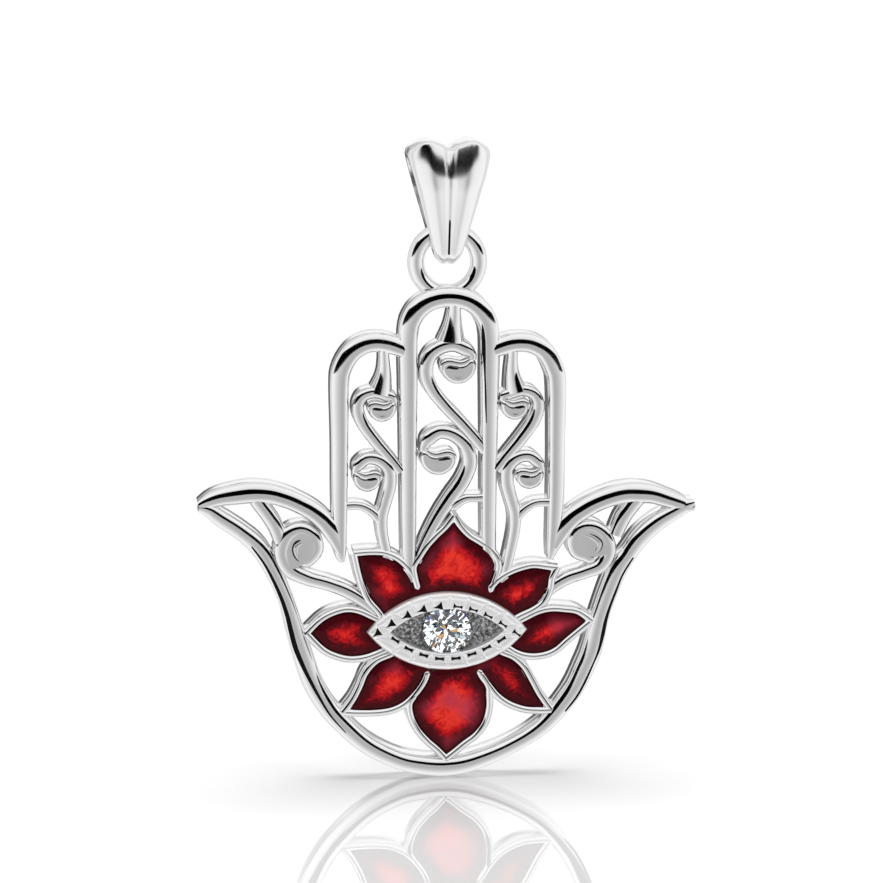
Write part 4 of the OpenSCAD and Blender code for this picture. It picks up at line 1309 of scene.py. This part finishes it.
# Directions that the hand's flat front and the floor mirror to the camera, and the world's tones, by the share
# of a half turn away from the first
FRONT_MIRRORS = (0.1032, -0.9823, -0.1564)
FLOOR_MIRRORS = (0.1032, 0.9823, 0.1564)
SURROUND = [
    (0, 0.7), (0.07, 0.73), (0.17, 0.84), (0.3, 0.96), (0.46, 1.0), (0.6, 0.86), (0.7, 0.94), (0.84, 0.88),
    (1, 0.62),
]
BACKDROP = [(0.4, 0.36), (0.5, 0.66), (0.58, 0.96)]
SPARKLE = [
    (0.0, (0.0, 0.0, 0.0)), (0.36, (0.03, 0.04, 0.35)), (0.4, (0.8, 0.4, 0.1)), (0.42, (0.1, 0.16, 0.18)),
    (0.5, (0.6, 0.75, 0.8)), (0.56, (1.8, 1.85, 1.9)),
]
# The dark card, in parts of a direction
OPEN_END = 2.0
CARD_BOTTOM, CARD_TOP, CARD_TILT, CARD_EDGE = 0.06, 0.5, 0.22, 0.015


def studio():
    """Soft white surroundings, greyer straight ahead and behind, with a dark card that draws the black lines
    along the polished bars, and sparkles for what is seen through the stone."""
    world = bpy.data.worlds.new("studio")
    bpy.context.scene.world = world
    world.use_nodes = True
    graph = Graph(world.node_tree)
    background = graph.tree.nodes["Background"]
    direction = graph.add("TexCoord").outputs["Generated"]

    def along(axis):
        dot = graph.add("VectorMath")
        dot.operation = "DOT_PRODUCT"
        graph.feed(dot, {0: direction, 1: axis})
        return dot.outputs["Value"]

    def greys(source, stops):
        return graph.ramp(source, [(at, grey(v**GAMMA)) for at, v in stops])

    def over(factor, under, value):
        return graph.mix(factor, under, (*grey(value), 1) if isinstance(value, float) else value)

    angle = graph.math("DIVIDE", graph.math("ARCCOSINE", along(FRONT_MIRRORS)), math.pi)
    soft = greys(angle, SURROUND)
    height = along((0, 0, 1))
    ahead = along((0, -1, 0))
    rightward = graph.math("MAXIMUM", along((1, 0, 0)), 0.0)
    tilted = graph.math("MULTIPLY_ADD", rightward, CARD_TILT, height)
    above, in_front = graph.span(height, CARD_BOTTOM, OPEN_END, CARD_EDGE), graph.span(ahead, 0.3, 1.5, 0.1)
    card = graph.math("MULTIPLY", above, in_front)
    card = graph.math("MULTIPLY", card, graph.span(tilted, -OPEN_END, CARD_TOP, CARD_EDGE))
    mottle = graph.add("TexNoise", {"Scale": 5.0, "Detail": 1.0, "Vector": direction}).outputs["Fac"]
    soft = over(graph.span(angle, 0.88, 0.97, 0.025), soft, greys(mottle, BACKDROP))
    soft = over(graph.span(along(FLOOR_MIRRORS), 0.981, OPEN_END, 0.004), soft, 1.0)
    cells = graph.add("TexVoronoi", {"Scale": 16.0, "Vector": direction})
    glints = graph.add("SeparateColor", {"Color": cells.outputs["Color"]})
    sparkle = graph.ramp(glints.outputs["Red"], SPARKLE, "CONSTANT")
    path = graph.add("LightPath").outputs
    scene = over(card, soft, 0.0)
    scene = over(path["Is Transmission Ray"], scene, sparkle)
    scene = over(path["Is Diffuse Ray"], scene, AMBIENT)
    scene = over(path["Is Camera Ray"], scene, 1.0)
    graph.feed(background, {"Color": scene, "Strength": 1.0})


studio()


SUN_LEFT = -0.1


def soft_sun(name, elevation, spread, strength):
    """A broad light from the front or from above that isn't mirrored in the metal."""
    data = bpy.data.lights.new(name, "SUN")
    data.energy = strength
    data.angle = math.radians(spread)
    thing = scene_object(name, data)
    turn = math.radians(elevation)
    to_light = Vector((SUN_LEFT * math.cos(turn), -math.cos(turn), math.sin(turn)))
    thing.rotation_euler = to_light.to_track_quat("Z", "Y").to_euler()
    thing.visible_glossy = False
    thing.visible_transmission = False


soft_sun("overhead", 95, 50, 3.1)
soft_sun("front", 8, 50, 2.6)

# Where the ring's middle stands in the picture, and how the camera looks at it
IMAGE = 883
PX_PER_MM = 17.8
RING_PX = (447.3, 261.5)
LENS, SENSOR = 150, 36
AZIMUTH, ELEVATION = math.radians(-6), math.radians(9)
CLIP_START = 0.001


def camera():
    level = math.cos(ELEVATION)
    forward = Vector((-math.sin(AZIMUTH) * level, math.cos(AZIMUTH) * level, -math.sin(ELEVATION)))
    right = Vector((math.cos(AZIMUTH), math.sin(AZIMUTH), 0))
    up = right.cross(forward)
    distance = IMAGE / PX_PER_MM * LENS / SENSOR
    offset = right * ((RING_PX[0] - IMAGE / 2) / PX_PER_MM) - up * ((RING_PX[1] - IMAGE / 2) / PX_PER_MM)
    centre = Vector((0, 0, RING_Z)) - offset
    data = bpy.data.cameras.new("camera")
    data.lens = LENS
    data.sensor_width = SENSOR
    data.clip_start = CLIP_START
    thing = scene_object("camera", data)
    thing.location = (centre - forward * distance) * MM
    thing.rotation_euler = forward.to_track_quat("-Z", "Y").to_euler()
    bpy.context.scene.camera = thing


camera()
